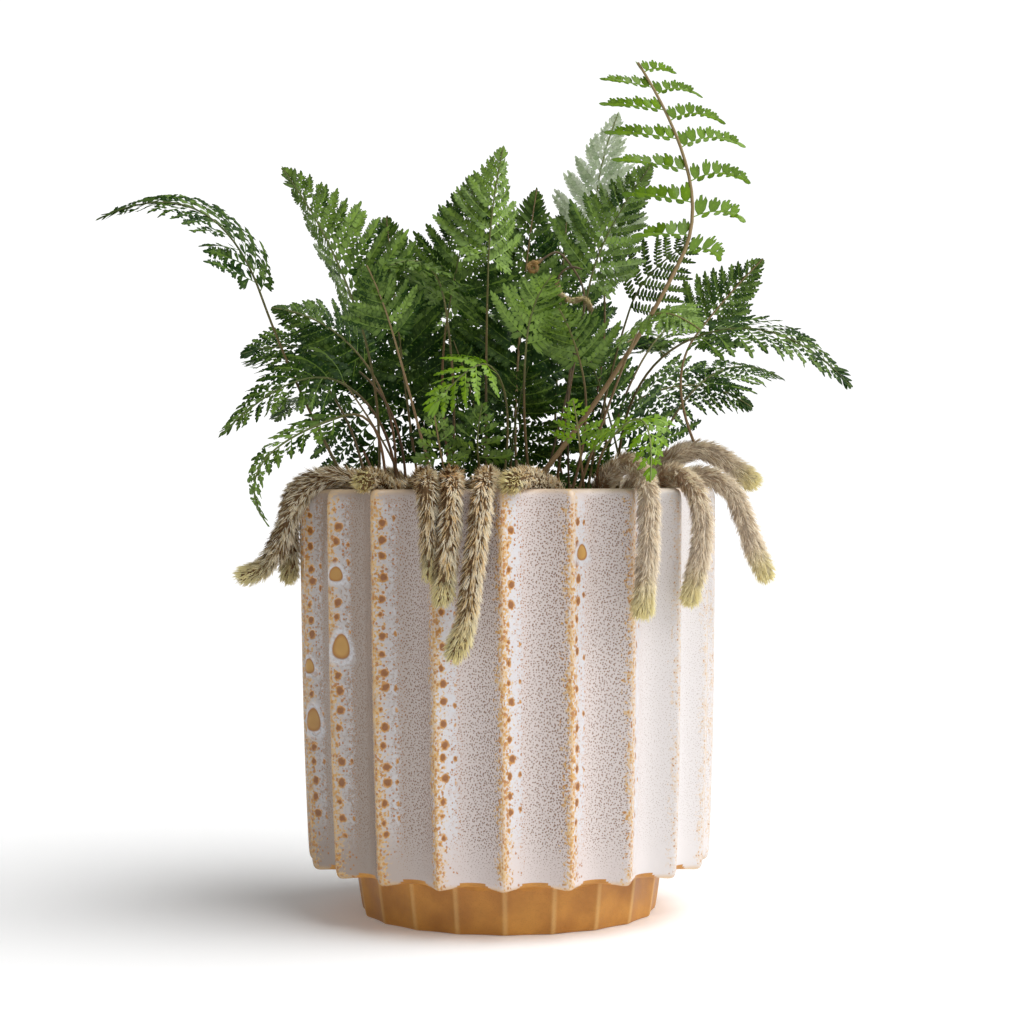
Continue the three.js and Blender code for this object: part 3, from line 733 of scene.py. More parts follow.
# The few large drops in the glaze: turn in degrees, height, half width and half height.
GLAZE_DROPS = [
    [-52.6, 123.4, 3, 5.6],
    [-53.6, 154.6, 2.3, 3.3],
    [-71.4, 89.3, 2.9, 5.3],
    [-72.2, 113, 2, 3.4],
    [20.5, 164.4, 3, 3.5],
    [98, 140, 2.6, 4.6],
    [152, 96, 3, 5],
    [-128, 131, 2.4, 4.2],
]
FLUTE_WIDTH = 0.031  # metres, about that of the curved wall between two crests
SPOT_ACROSS, SPOT_ALONG = 0.0066, 0.0079  # metres between rust spots


def rust_spots(tree, ridge, painted_light):
    """A column of larger rust spots on each flute: their mask, how deep inside one a point lies,
    the band that they keep to, and the distance to the middle of the nearest."""
    height, phase = ridge["Height"], ridge["Phase"]
    aside = times(tree, maths(tree, "ADD", phase, -0.2), FLUTE_WIDTH / SPOT_ACROSS)
    column = maths(tree, "ADD", maths(tree, "MULTIPLY_ADD", ridge["Ridge"], 10, 0.5), aside)
    row = maths(tree, "DIVIDE", height, SPOT_ALONG)
    row = maths(tree, "MULTIPLY_ADD", ridge["Ridge"], 3.7, row)
    grid = node(tree, "ShaderNodeCombineXYZ", {"X": column, "Y": row}).outputs[0]
    crooked = node(tree, "ShaderNodeTexNoise", {"Vector": grid, "Scale": 4.5, "Detail": 2})
    sockets = {0: crooked.outputs["Color"], 1: (0.24, 0.24, 0), 2: grid}
    grid = node(tree, "ShaderNodeVectorMath", sockets, operation="MULTIPLY_ADD").outputs[0]
    away, chance = scattered(tree, grid, 1, 0.4)
    # Painted light: the spots are smaller towards +X, on the lit side
    band = times(tree, fade(tree, phase, 0.05, 0.11), fade(tree, phase, 0.32, 0.26),
                 fade(tree, height, 0.034, 0.048), fade(tree, height, 0.188, 0.176),
                 fade(tree, painted_light, 0, 1, 1, 0.6))
    size = times(tree, maths(tree, "MULTIPLY_ADD", chance, 0.05, 0.21), band)
    inside = maths(tree, "SUBTRACT", size, away)
    spot = times(tree, fade(tree, inside, -0.05, 0.04), fade(tree, size, 0.05, 0.09))
    return spot, fade(tree, inside, 0.0, 0.12), band, away


def fine_specks(tree, flat, ridge, phase, torn, milk, painted_light):
    """Fine brown specks between the crests, larger towards the next one."""
    oblique = node(tree, "ShaderNodeMapping", {"Vector": flat, "Rotation": (0, 0, 0.5)}).outputs[0]
    away, chance = scattered(tree, oblique, 850, 0.9)
    field = times(tree, fade(tree, torn, 0.15, 0.27), fade(tree, phase, 1.0, 0.95),
                  fade(tree, milk, 0.9, 0.4, 0.3, 1))
    size = maths(tree, "MULTIPLY_ADD", ridge["Phase"], 0.13, 0.1)
    size = maths(tree, "MULTIPLY_ADD", chance, 0.14, size)
    # Painted light: the specks are smaller towards +X, on the lit side
    size = times(tree, size, field, fade(tree, painted_light, 0, 1, 1, 0.4),
                 fade(tree, ridge["Height"], 0.023, 0.05, 0.3, 1.0),
                 fade(tree, ridge["Height"], 0.1892, 0.186, 0.4, 1.0))
    inside = maths(tree, "SUBTRACT", size, away)
    return times(tree, fade(tree, inside, -0.07, 0.08), fade(tree, size, 0.03, 0.1))


def crest_flecks(tree, flat, crest, phase, patch, below_rim, painted_light):
    """Larger yellow and orange specks along each crest, sparser beside it, and their colour."""
    away, chance = scattered(tree, flat, 640, 0.9)
    dense = times(tree, maths(tree, "MULTIPLY_ADD", chance, 0.4, 0.22), crest)
    rare = times(tree, maths(tree, "SUBTRACT", chance, 0.66, clamp=True), 1.15,
                 fade(tree, phase, 0.42, 0.22))
    # Painted light: the flecks are smaller towards +X, on the lit side
    size = times(tree, maths(tree, "MAXIMUM", dense, rare), below_rim,
                 fade(tree, painted_light, 0, 1, 1, 0.42), fade(tree, patch, 0, 1, 0.75, 1.1))
    inside = maths(tree, "SUBTRACT", size, away)
    fleck = times(tree, fade(tree, inside, -0.08, 0.1), fade(tree, size, 0.05, 0.15))
    orange = blend(tree, fade(tree, chance, 0.5, 1.0), (0.6, 0.3, 0.05, 1), (0.42, 0.15, 0.02, 1))
    return fleck, orange


def glaze_drops(tree, ridge):
    """The few large drops: their mask, their core and the halo round them."""
    drop, core, halo = 0.0, 0.0, 0.0
    for turn, at, half_width, half_height in GLAZE_DROPS:
        sockets = {
            "Turn": ridge["Turn"],
            "Height": ridge["Height"],
            "At Turn": math.radians(turn),
            "At Height": at * MM,
            "Half Turn": half_width / MEAN_RADIUS,
            "Half Height": half_height * MM,
        }
        one = place_group(tree, drop_group(), sockets)
        drop = maths(tree, "MAXIMUM", one["Mask"], drop)
        core = maths(tree, "MAXIMUM", one["Core"], core)
        halo = maths(tree, "MAXIMUM", one["Halo"], halo)
    return drop, core, halo


def glaze_material(settings):
    material, tree, shader = new_material("speckled glaze")
    place = object_place(tree)
    ridge = planter_ridge(tree, place, settings)
    height, turn = ridge["Height"], ridge["Turn"]
    flat = node(tree, "ShaderNodeCombineXYZ", {"X": ridge["Arc"], "Y": height}).outputs[0]
    wobble = mottle(tree, stretched(tree, place, (1, 1, 0.5)), 260, 3, 0.25, 0.75)
    phase = maths(tree, "MULTIPLY_ADD", wobble, 0.08, maths(tree, "ADD", ridge["Phase"], -0.04))
    patch = mottle(tree, place, 55, 2, 0.3, 0.62)
    ragged = mottle(tree, place, 760, 3, 0.3, 0.7)
    torn = maths(tree, "MULTIPLY_ADD", ragged, 0.16, maths(tree, "ADD", phase, -0.08))
    upper = fade(tree, height, 0.03, 0.055)
    below_rim = fade(tree, height, 0.1895, 0.184)

    # Pinkish ground, with painted light and shade: whiter and plainer towards +X, where the light
    # comes from, darker and browner towards -X, and neither at the back, where the two would meet
    painted_light = times(tree, fade(tree, turn, 0.35, 0.95), fade(tree, turn, 3, 2))
    painted_shading = times(tree, fade(tree, turn, -0.15, -0.8, 0, 0.9), fade(tree, turn, -3, -2))
    colour = blend(tree, painted_shading, rgba(settings.glaze), rgba(settings.painted_shading))
    colour = blend(tree, times(tree, painted_light, 0.8), colour, (0.72, 0.69, 0.68, 1))

    # Milky lace along the crests and round the rust spots
    spot, depth, band, spot_distance = rust_spots(tree, ridge, painted_light)
    lace = times(tree, fade(tree, torn, 0.02, 0.09), fade(tree, torn, 0.33, 0.17))
    round_spots = maths(tree, "MULTIPLY_ADD", ragged, 0.3, spot_distance)
    round_spots = times(tree, fade(tree, round_spots, 0.74, 0.42), band)
    milk = maths(tree, "MAXIMUM", times(tree, lace, 0.8), round_spots)
    # Painted shade: the milk is dimmer on the shaded side towards -X
    milk = times(tree, milk, times(tree, upper, below_rim), fade(tree, painted_shading, 0, 1, 1, 0.62))
    colour = blend(tree, milk, colour, rgba(settings.milk))

    hole = fine_specks(tree, flat, ridge, phase, torn, milk, painted_light)
    grain = blend(tree, fade(tree, phase, 0.25, 0.45), (0.42, 0.17, 0.04, 1),
                  rgba(settings.pinhole))
    colour = blend(tree, times(tree, hole, 0.85), colour, grain)

    # Tan along each crest, on the rim and on the lower lip
    # Painted light: the crests' tan is narrower and fainter towards +X, on the lit side
    narrow = maths(tree, "MULTIPLY_ADD", painted_light, 0.03, torn)
    crest = maths(tree, "MAXIMUM", fade(tree, narrow, 0.145, 0.06), fade(tree, torn, 0.93, 0.98))
    rim = times(tree, fade(tree, height, 0.1882, 0.1904), 0.4)
    lip = times(tree, fade(tree, height, 0.0252, 0.0228), 0.7)
    tan = times(tree, crest, fade(tree, wobble, 0.1, 0.8, 0.4, 0.9),
                fade(tree, painted_light, 0, 1, 1, 0.4))
    tan = maths(tree, "MAXIMUM", tan, maths(tree, "MAXIMUM", rim, lip))
    colour = blend(tree, tan, colour, rgba(settings.crest))
    fleck, orange = crest_flecks(tree, flat, crest, phase, patch, below_rim, painted_light)
    colour = blend(tree, times(tree, fleck, 0.85), colour, orange)

    rust = blend(tree, depth, (0.64, 0.3, 0.06, 1), rgba(settings.spot))
    colour = blend(tree, times(tree, spot, 0.95), colour, rust)
    drop, core, halo = glaze_drops(tree, ridge)
    halo = times(tree, halo, fade(tree, ragged, 0, 1, 1, 0.55))
    colour = blend(tree, halo, colour, rgba(settings.milk))
    ochre = blend(tree, patch, (0.42, 0.21, 0.045, 1), (0.56, 0.32, 0.08, 1))
    ochre = blend(tree, core, (0.38, 0.16, 0.03, 1), ochre)
    colour = blend(tree, drop, colour, ochre)
    tree.links.new(colour, shader.inputs["Base Color"])

    # Specks, spots and drops lie a little lower than the glaze and are duller
    pits = times(tree, maths(tree, "MAXIMUM", hole, fleck), 0.35)
    pits = maths(tree, "MAXIMUM", maths(tree, "MAXIMUM", pits, spot), drop)
    ripple = mottle(tree, place, 150, 2, 0.2, 0.8)
    relief = maths(tree, "MULTIPLY_ADD", pits, -1, times(tree, ripple, 0.25))
    add_bump(tree, shader, relief, 0.00022)
    tree.links.new(maths(tree, "MULTIPLY_ADD", pits, 0.12, 0.26), shader.inputs["Roughness"])
    shader.inputs["Coat Weight"].default_value = 0.15
    shader.inputs["Coat Roughness"].default_value = 0.14
    return material


def clay_material(settings):
    material, tree, shader = new_material("bare ochre clay")
    place = object_place(tree)
    ridge = planter_ridge(tree, place, settings)
    cloud = mottle(tree, place, 60, 4, 0.3, 0.7)
    colour = blend(tree, cloud, (0.44, 0.18, 0.025, 1), rgba(settings.clay))
    # Painted highlight: lighter along the foot's ridges
    after = fade(tree, ridge["Phase"], 0.1, 0.01)
    before = fade(tree, ridge["Phase"], 0.93, 1.0)
    edge = times(tree, maths(tree, "MAXIMUM", after, before), 0.55)
    colour = blend(tree, edge, colour, (0.78, 0.5, 0.18, 1))
    grain = specks(tree, place, 1500, 0.42, 0.3)
    colour = blend(tree, times(tree, grain, 0.22), colour, (0.2, 0.09, 0.02, 1))
    tree.links.new(colour, shader.inputs["Base Color"])
    tree.links.new(maths(tree, "MULTIPLY_ADD", cloud, 0.12, 0.42), shader.inputs["Roughness"])
    add_bump(tree, shader, maths(tree, "MULTIPLY_ADD", grain, 0.6, cloud), 0.0001)
    return material


def mix_material(settings):
    material, tree, shader = new_material("potting mix")
    place = object_place(tree)
    cloud = mottle(tree, place, 240, 5, 0.3, 0.7)
    colour = blend(tree, cloud, rgba(settings.colour), (0.11, 0.065, 0.035, 1))
    fibre = specks(tree, stretched(tree, place, (1, 0.3, 1)), 900, 0.3, 0.1)
    colour = blend(tree, times(tree, fibre, 0.6), colour, (0.24, 0.16, 0.09, 1))
    tree.links.new(colour, shader.inputs["Base Color"])
    shader.inputs["Roughness"].default_value = 0.85
    add_bump(tree, shader, cloud, 0.0008)
    return material


def fur_material(settings):
    material, tree, shader = new_material("rhizome fur")
    place = object_place(tree)
    along = attribute(tree, "along")
    tint = attribute(tree, "tint")
    warm = attribute(tree, "warmth")
    height = attribute(tree, "height")
    cloud = mottle(tree, place, 110, 3, 0.35, 0.65)
    rusty = times(tree, warm, fade(tree, along, 0.75, 0.3))
    rusty = times(tree, rusty, maths(tree, "MULTIPLY_ADD", cloud, 0.9, 0.1))
    colour = blend(tree, rusty, rgba(settings.straw), rgba(settings.rust))
    grey = times(tree, fade(tree, warm, 0.4, 0.1), times(tree, cloud, 0.5))
    colour = blend(tree, grey, colour, (0.62, 0.52, 0.35, 1))
    # Painted light and shade: the hairs are paler and washed with light towards +X, on the lit side,
    # duller towards -X, and their dark roots and dark tufts are fainter on the lit side
    aside = node(tree, "ShaderNodeSeparateXYZ", {0: place}).outputs[0]
    painted_light_side = fade(tree, aside, -0.02, 0.08)
    dull = fade(tree, aside, -0.045, -0.085, 0, 0.4)
    colour = blend(tree, dull, colour, (0.3, 0.23, 0.15, 1))
    pale = fade(tree, maths(tree, "MULTIPLY_ADD", painted_light_side, 0.3, tint), 0.44, 0.7)
    colour = blend(tree, pale, colour, (1, 0.95, 0.82, 1))
    dark = times(tree, fade(tree, tint, 0.34, 0.1), fade(tree, painted_light_side, 0, 1, 0.9, 0.7))
    colour = blend(tree, dark, colour, (0.2, 0.1, 0.035, 1))
    painted_light_wash = times(tree, painted_light_side, fade(tree, rusty, 0, 0.6, 0.55, 0.25))
    colour = blend(tree, painted_light_wash, colour, (1, 0.93, 0.83, 1))
    tip = fade(tree, along, 0.78, 0.98, 0, 0.75)
    colour = blend(tree, tip, colour, rgba(settings.sprout))
    root = times(tree, fade(tree, height, 0.4, 0.0), fade(tree, painted_light_side, 0, 1, 1, 0.3))
    colour = blend(tree, root, colour, rgba(settings.bark))
    tree.links.new(colour, shader.inputs["Base Color"])
    shader.inputs["Roughness"].default_value = 0.65
    shader.inputs["Specular IOR Level"].default_value = 0.3
    add_bump(tree, shader, mottle(tree, place, 900, 2, 0.3, 0.7), 0.0003, 0.6)
    let_light_through(tree, shader, colour, 0.5)
    return material


def leaf_material(name, dark, light, under, through):
    """A thin green leaf: shiny upper side, duller underside, and light that comes through."""
    material, tree, shader = new_material(name)
    place = object_place(tree)
    tone = attribute(tree, "tone")
    edge = attribute(tree, "edge")
    cloud = mottle(tree, place, 90, 3, 0.3, 0.7)
    level = maths(tree, "MULTIPLY_ADD", cloud, 0.26, maths(tree, "ADD", tone, -0.1), clamp=True)
    colour = blend(tree, level, rgba(dark), rgba(light))
    vein = fade(tree, edge, 0.3, 0.0, 0, 0.22)
    paler = [min(1, channel * 1.7 + 0.02) for channel in light]
    colour = blend(tree, vein, colour, rgba(paler))
    # Darker rims: partly the leaflets' own darker edges, partly painted shade between them
    rim = fade(tree, edge, 0.7, 1.0, 0, 0.72)
    colour = blend(tree, rim, colour, rgba(dark))
    if under:
        dull = fade(tree, level, 0.0, 0.6, 0.03, 0.28)
        colour = blend(tree, dull, colour, (0.24, 0.34, 0.14, 1))
    tree.links.new(colour, shader.inputs["Base Color"])
    shader.inputs["Roughness"].default_value = 0.55 if under else 0.4
    shader.inputs["Specular IOR Level"].default_value = 0.16
    if not under:
        gloss = fade(tree, level, 0.15, 0.6, 0, 0.55)
        tree.links.new(gloss, shader.inputs["Coat Weight"])
        shader.inputs["Coat Roughness"].default_value = 0.22
    add_bump(tree, shader, mottle(tree, place, 1300, 2, 0.3, 0.7), 0.0001, 0.5)
    glow = blend(tree, level, rgba([channel * 1.6 for channel in dark]),
                 rgba([min(1, channel * 1.9) for channel in light]))
    let_light_through(tree, shader, glow, through)
    return material


def stalk_material(settings):
    material, tree, shader = new_material("fern stalk")
    place = object_place(tree)
    along = attribute(tree, "along")
    tone = attribute(tree, "tone")
    cloud = mottle(tree, stretched(tree, place, (1, 1, 0.2)), 260, 3, 0.3, 0.7)
    red = blend(tree, cloud, rgba([channel * 0.6 for channel in settings.stalk]),
                rgba([channel * 1.25 for channel in settings.stalk]))
    green = blend(tree, tone, (0.06, 0.085, 0.02, 1), (0.22, 0.26, 0.08, 1))
    colour = blend(tree, fade(tree, along, 0.55, 1.35), red, green)
    kind = attribute(tree, "edge")
    colour = blend(tree, fade(tree, kind, 0.55, 1, 0, 0.75), colour, (0.3, 0.2, 0.1, 1))
    colour = blend(tree, fade(tree, kind, 0.4, 0.1, 0, 0.65), colour, (0.07, 0.08, 0.02, 1))
    dots = specks(tree, stretched(tree, place, (1, 1, 0.45)), 900, 0.2, 0.1)
    colour = blend(tree, times(tree, dots, 0.6), colour, (0.42, 0.3, 0.2, 1))
    foot = fade(tree, along, 0.06, 0.0)
    colour = blend(tree, foot, colour, (0.3, 0.19, 0.09, 1))
    tree.links.new(colour, shader.inputs["Base Color"])
    shader.inputs["Roughness"].default_value = 0.45
    shader.inputs["Specular IOR Level"].default_value = 0.25
    add_bump(tree, shader, cloud, 0.0001)
    return material


def crozier_material():
    """Dark olive stalk, then a coil under orange-brown to cream and greenish scales."""
    material, tree, shader = new_material("crozier scales")
    place = object_place(tree)
    coil = attribute(tree, "along")
    tone = attribute(tree, "tone")
    cloud = mottle(tree, place, 420, 3, 0.35, 0.65)
    scale = blend(tree, fade(tree, tone, 0.1, 0.7), (0.4, 0.22, 0.05, 1), (0.5, 0.42, 0.2, 1))
    green = fade(tree, tone, 0.86, 1.0, 0, 0.8)
    scale = blend(tree, green, scale, (0.3, 0.38, 0.06, 1))
    stalk = blend(tree, cloud, (0.05, 0.032, 0.012, 1), (0.14, 0.1, 0.035, 1))
    colour = blend(tree, fade(tree, coil, 0.1, 0.9), stalk, scale)
    dark = times(tree, cloud, 0.6)
    colour = blend(tree, dark, colour, (0.09, 0.055, 0.02, 1))
    tree.links.new(colour, shader.inputs["Base Color"])
    shader.inputs["Roughness"].default_value = 0.6
    return material


# Mesh building

def deselect():
    if bpy.context.object and bpy.context.object.mode != "OBJECT":
        bpy.ops.object.mode_set(mode="OBJECT")
    bpy.ops.object.select_all(action="DESELECT")


def select_vertices(mesh, wanted):
    """Selects these vertices of a mesh in edit mode, and nothing else."""
    bpy.ops.mesh.select_all(action="DESELECT")
    edit = bmesh.from_edit_mesh(mesh)
    edit.verts.ensure_lookup_table()
    for number in wanted:
        edit.verts[int(number)].select_set(True)
    edit.select_flush_mode()
    bmesh.update_edit_mesh(mesh)


def places_of(mesh):
    corners = np.zeros(len(mesh.vertices) * 3)
    mesh.vertices.foreach_get("co", corners)
    return corners.reshape(-1, 3)


def settle(piece, name, nodes):
    """Names a finished piece and joins it to the frame."""
    piece.name = name
    piece.data.name = name
    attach(piece, "root")
    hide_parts(*nodes)


def mesh_piece(name, corners, faces, materials, kinds, attributes):
    """A new object from corners in millimetres, with a material number for each face and named
    values for each corner."""
    mesh = bpy.data.meshes.new(name)
    mesh.from_pydata((corners * MM).tolist(), [], faces)
    for material in materials:
        mesh.materials.append(material)
    mesh.polygons.foreach_set("material_index", np.asarray(kinds, dtype=np.int32))
    for label, values in attributes.items():
        layer = mesh.attributes.new(label, "FLOAT", "POINT")
        layer.data.foreach_set("value", np.asarray(values, dtype=np.float32))
    mesh.update()
    piece = bpy.data.objects.new(name, mesh)
    bpy.context.scene.collection.objects.link(piece)
    return piece


def smooth_by_angle(piece, angle):
    deselect()
    piece.select_set(True)
    bpy.context.view_layer.objects.active = piece
    bpy.ops.object.shade_smooth_by_angle(angle=math.radians(angle))


def seen(point):
    """A point given as it looks from the front, placed at its depth."""
    x, y, z = point
    scale = 1 + y / VIEW_DISTANCE
    return np.array([x * scale, y, VIEW_HEIGHT + (z - VIEW_HEIGHT) * scale])


def unit(vector):
    return vector / np.linalg.norm(vector)


def unit_rows(table):
    return table / np.linalg.norm(table, axis=1)[:, None]


def length_of(path):
    return np.linalg.norm(np.diff(path, axis=0), axis=1).sum()


def rows_at(wanted, places, table):
    """Vectors at the wanted places, between those of a table whose rows lie at places."""
    return np.stack([np.interp(wanted, places, table[:, axis]) for axis in range(3)], axis=1)


def smooth_path(points, count):
    """Points evenly spread along a centripetal Catmull-Rom curve."""
    points = np.asarray(points, dtype=float)
    points = np.vstack([2 * points[0] - points[1], points, 2 * points[-1] - points[-2]])
    dense = []
    for number in range(1, len(points) - 2):
        p0, p1, p2, p3 = points[number - 1:number + 3]
        d0, d1, d2 = [np.linalg.norm(b - a) ** 0.5 for a, b in ((p0, p1), (p1, p2), (p2, p3))]
        t1 = ((p1 - p0) / d0 - (p2 - p0) / (d0 + d1) + (p2 - p1) / d1) * d1
        t2 = ((p2 - p1) / d1 - (p3 - p1) / (d1 + d2) + (p3 - p2) / d2) * d1
        for t in np.linspace(0, 1, 24, endpoint=False):
            dense.append(p1 + t1 * t + (-3 * p1 + 3 * p2 - 2 * t1 - t2) * t ** 2
                         + (2 * p1 - 2 * p2 + t1 + t2) * t ** 3)
    dense.append(points[-2])
    return evenly(np.array(dense), count)


def evenly(dense, count):
    lengths = np.concatenate([[0], np.cumsum(np.linalg.norm(np.diff(dense, axis=0), axis=1))])
    wanted = np.linspace(0, lengths[-1], count)
    return rows_at(wanted, lengths, dense)


def frames_along(path):
    """Tangent, normal and binormal at each point of a path, with no twist."""
    tangents = unit_rows(np.gradient(path, axis=0))
    start = np.array([0, 0, 1.0]) if abs(tangents[0][2]) < 0.8 else np.array([1.0, 0, 0])
    normal = unit(start - tangents[0] * (start @ tangents[0]))
    normals = []
    for tangent in tangents:
        normal = unit(normal - tangent * (normal @ tangent))
        normals.append(normal)
    normals = np.array(normals)
    return tangents, normals, np.cross(tangents, normals)


def tube(path, radii, sides, flat=None):
    """Corners and faces of a closed tube. With flat, a pair of side and up vectors for each
    ring, the tube is a ribbon of that half width and half thickness."""
    if flat is None:
        _, normals, binormals = frames_along(path)
        wide, high = radii, radii
    else:
        normals, binormals = flat
        wide, high = radii
    angles = np.linspace(0, 2 * np.pi, sides, endpoint=False)
    rings = (path[:, None, :]
             + (wide[:, None] * np.cos(angles))[:, :, None] * normals[:, None, :]
             + (high[:, None] * np.sin(angles))[:, :, None] * binormals[:, None, :])
    corners = rings.reshape(-1, 3)
    faces = []
    for ring in range(len(path) - 1):
        for side in range(sides):
            a = ring * sides + side
            b = ring * sides + (side + 1) % sides
            faces.append((a, b, b + sides, a + sides))
    last = (len(path) - 1) * sides
    faces.append(tuple(reversed(range(sides))))
    faces.append(tuple(range(last, last + sides)))
    return corners, faces


def planter_radius(turn, height):
    """Outer radius of the planter in millimetres at a turn and height."""
    settings = bpy.context.scene.fern_planter
    pitch = 2 * math.pi / settings.flutes
    across = 2 * (((turn - settings.first_ridge) / pitch) % 1) - 1
    crest = np.interp(height, WALL_RINGS[:, 1], WALL_RINGS[:, 0])
    return crest - FLUTE_DEPTH * (1 - across ** 2)


class FERN_OT_planter(bpy.types.Operator):
    """Model the fluted, glazed planter"""
    bl_idname = "fern.planter"
    bl_label = "Planter"

    def execute(self, context):
        settings = context.scene.fern_planter
        columns = settings.flutes * COLUMNS_PER_FLUTE
        deselect()
        radius, height, _, _ = PLANTER_RINGS[0]
        bpy.ops.mesh.primitive_circle_add(
            vertices=columns, radius=radius * MM, location=(0, 0, height * MM))
        planter = context.object
        bpy.ops.object.mode_set(mode="EDIT")
        turn = settings.first_ridge
        bpy.ops.transform.rotate(value=turn, orient_axis="Z", center_override=(0, 0, 0))
        for (r0, z0, _, _), (r1, z1, _, _) in zip(PLANTER_RINGS, PLANTER_RINGS[1:]):
            bpy.ops.mesh.extrude_region_move(
                TRANSFORM_OT_translate={"value": (0, 0, (z1 - z0) * MM)})
            share = r1 / r0
            bpy.ops.transform.resize(value=(share, share, 1), center_override=(0, 0, z1 * MM))
        self.flute(planter, settings)
        bpy.ops.object.mode_set(mode="OBJECT")
        rounded = planter.modifiers.new("Rounding", "SUBSURF")
        rounded.levels = 1
        rounded.render_levels = 1
        bpy.ops.object.modifier_apply(modifier=rounded.name)
        bpy.ops.object.mode_set(mode="EDIT")
        bpy.ops.mesh.select_all(action="SELECT")
        bpy.ops.mesh.fill_holes(sides=0)
        bpy.ops.mesh.select_all(action="SELECT")
        bpy.ops.mesh.normals_make_consistent(inside=False)
        bpy.ops.object.mode_set(mode="OBJECT")
        bpy.ops.object.shade_smooth()
        bpy.ops.object.transform_apply(location=True, rotation=True, scale=True)
        planter.data.materials.append(glaze_material(settings))
        planter.data.materials.append(clay_material(settings))
        # The foot and the unseen inside are bare clay
        for face in planter.data.polygons:
            middle = face.center
            reach = math.hypot(middle.x, middle.y) / MM
            bare = middle.z < 0.0256 and reach < 84
            face.material_index = 1 if bare or (middle.z < 0.17 and reach < 80.6) else 0
        settle(planter, "Planter", ["planter"])
        return {"FINISHED"}

    def flute(self, planter, settings):
        """Pull the columns between two ridges inwards, ring by ring."""
        bpy.ops.object.mode_set(mode="OBJECT")
        places = places_of(planter.data) / MM
        bpy.ops.object.mode_set(mode="EDIT")
        turn = np.arctan2(places[:, 0], -places[:, 1]) - settings.first_ridge
        column = np.round(turn / (2 * np.pi) * settings.flutes * COLUMNS_PER_FLUTE)
        offset = column.astype(int) % COLUMNS_PER_FLUTE
        reach = np.hypot(places[:, 0], places[:, 1])
        for radius, height, depth, rise in PLANTER_RINGS:
            if depth == 0:
                continue
            ring = (abs(reach - radius) < 0.02) & (abs(places[:, 2] - height) < 0.02)
            for step in range(1, COLUMNS_PER_FLUTE // 2 + 1):
                across = 2 * step / COLUMNS_PER_FLUTE - 1
                share = 1 - across ** 2
                same = ring & ((offset == step) | (offset == COLUMNS_PER_FLUTE - step))
                select_vertices(planter.data, np.flatnonzero(same))
                size = (radius - depth * share) / radius
                bpy.ops.transform.resize(
                    value=(size, size, 1), center_override=(0, 0, height * MM))
                if rise:
                    climb = settings.lip_rise * rise * share
                    bpy.ops.transform.translate(value=(0, 0, climb))


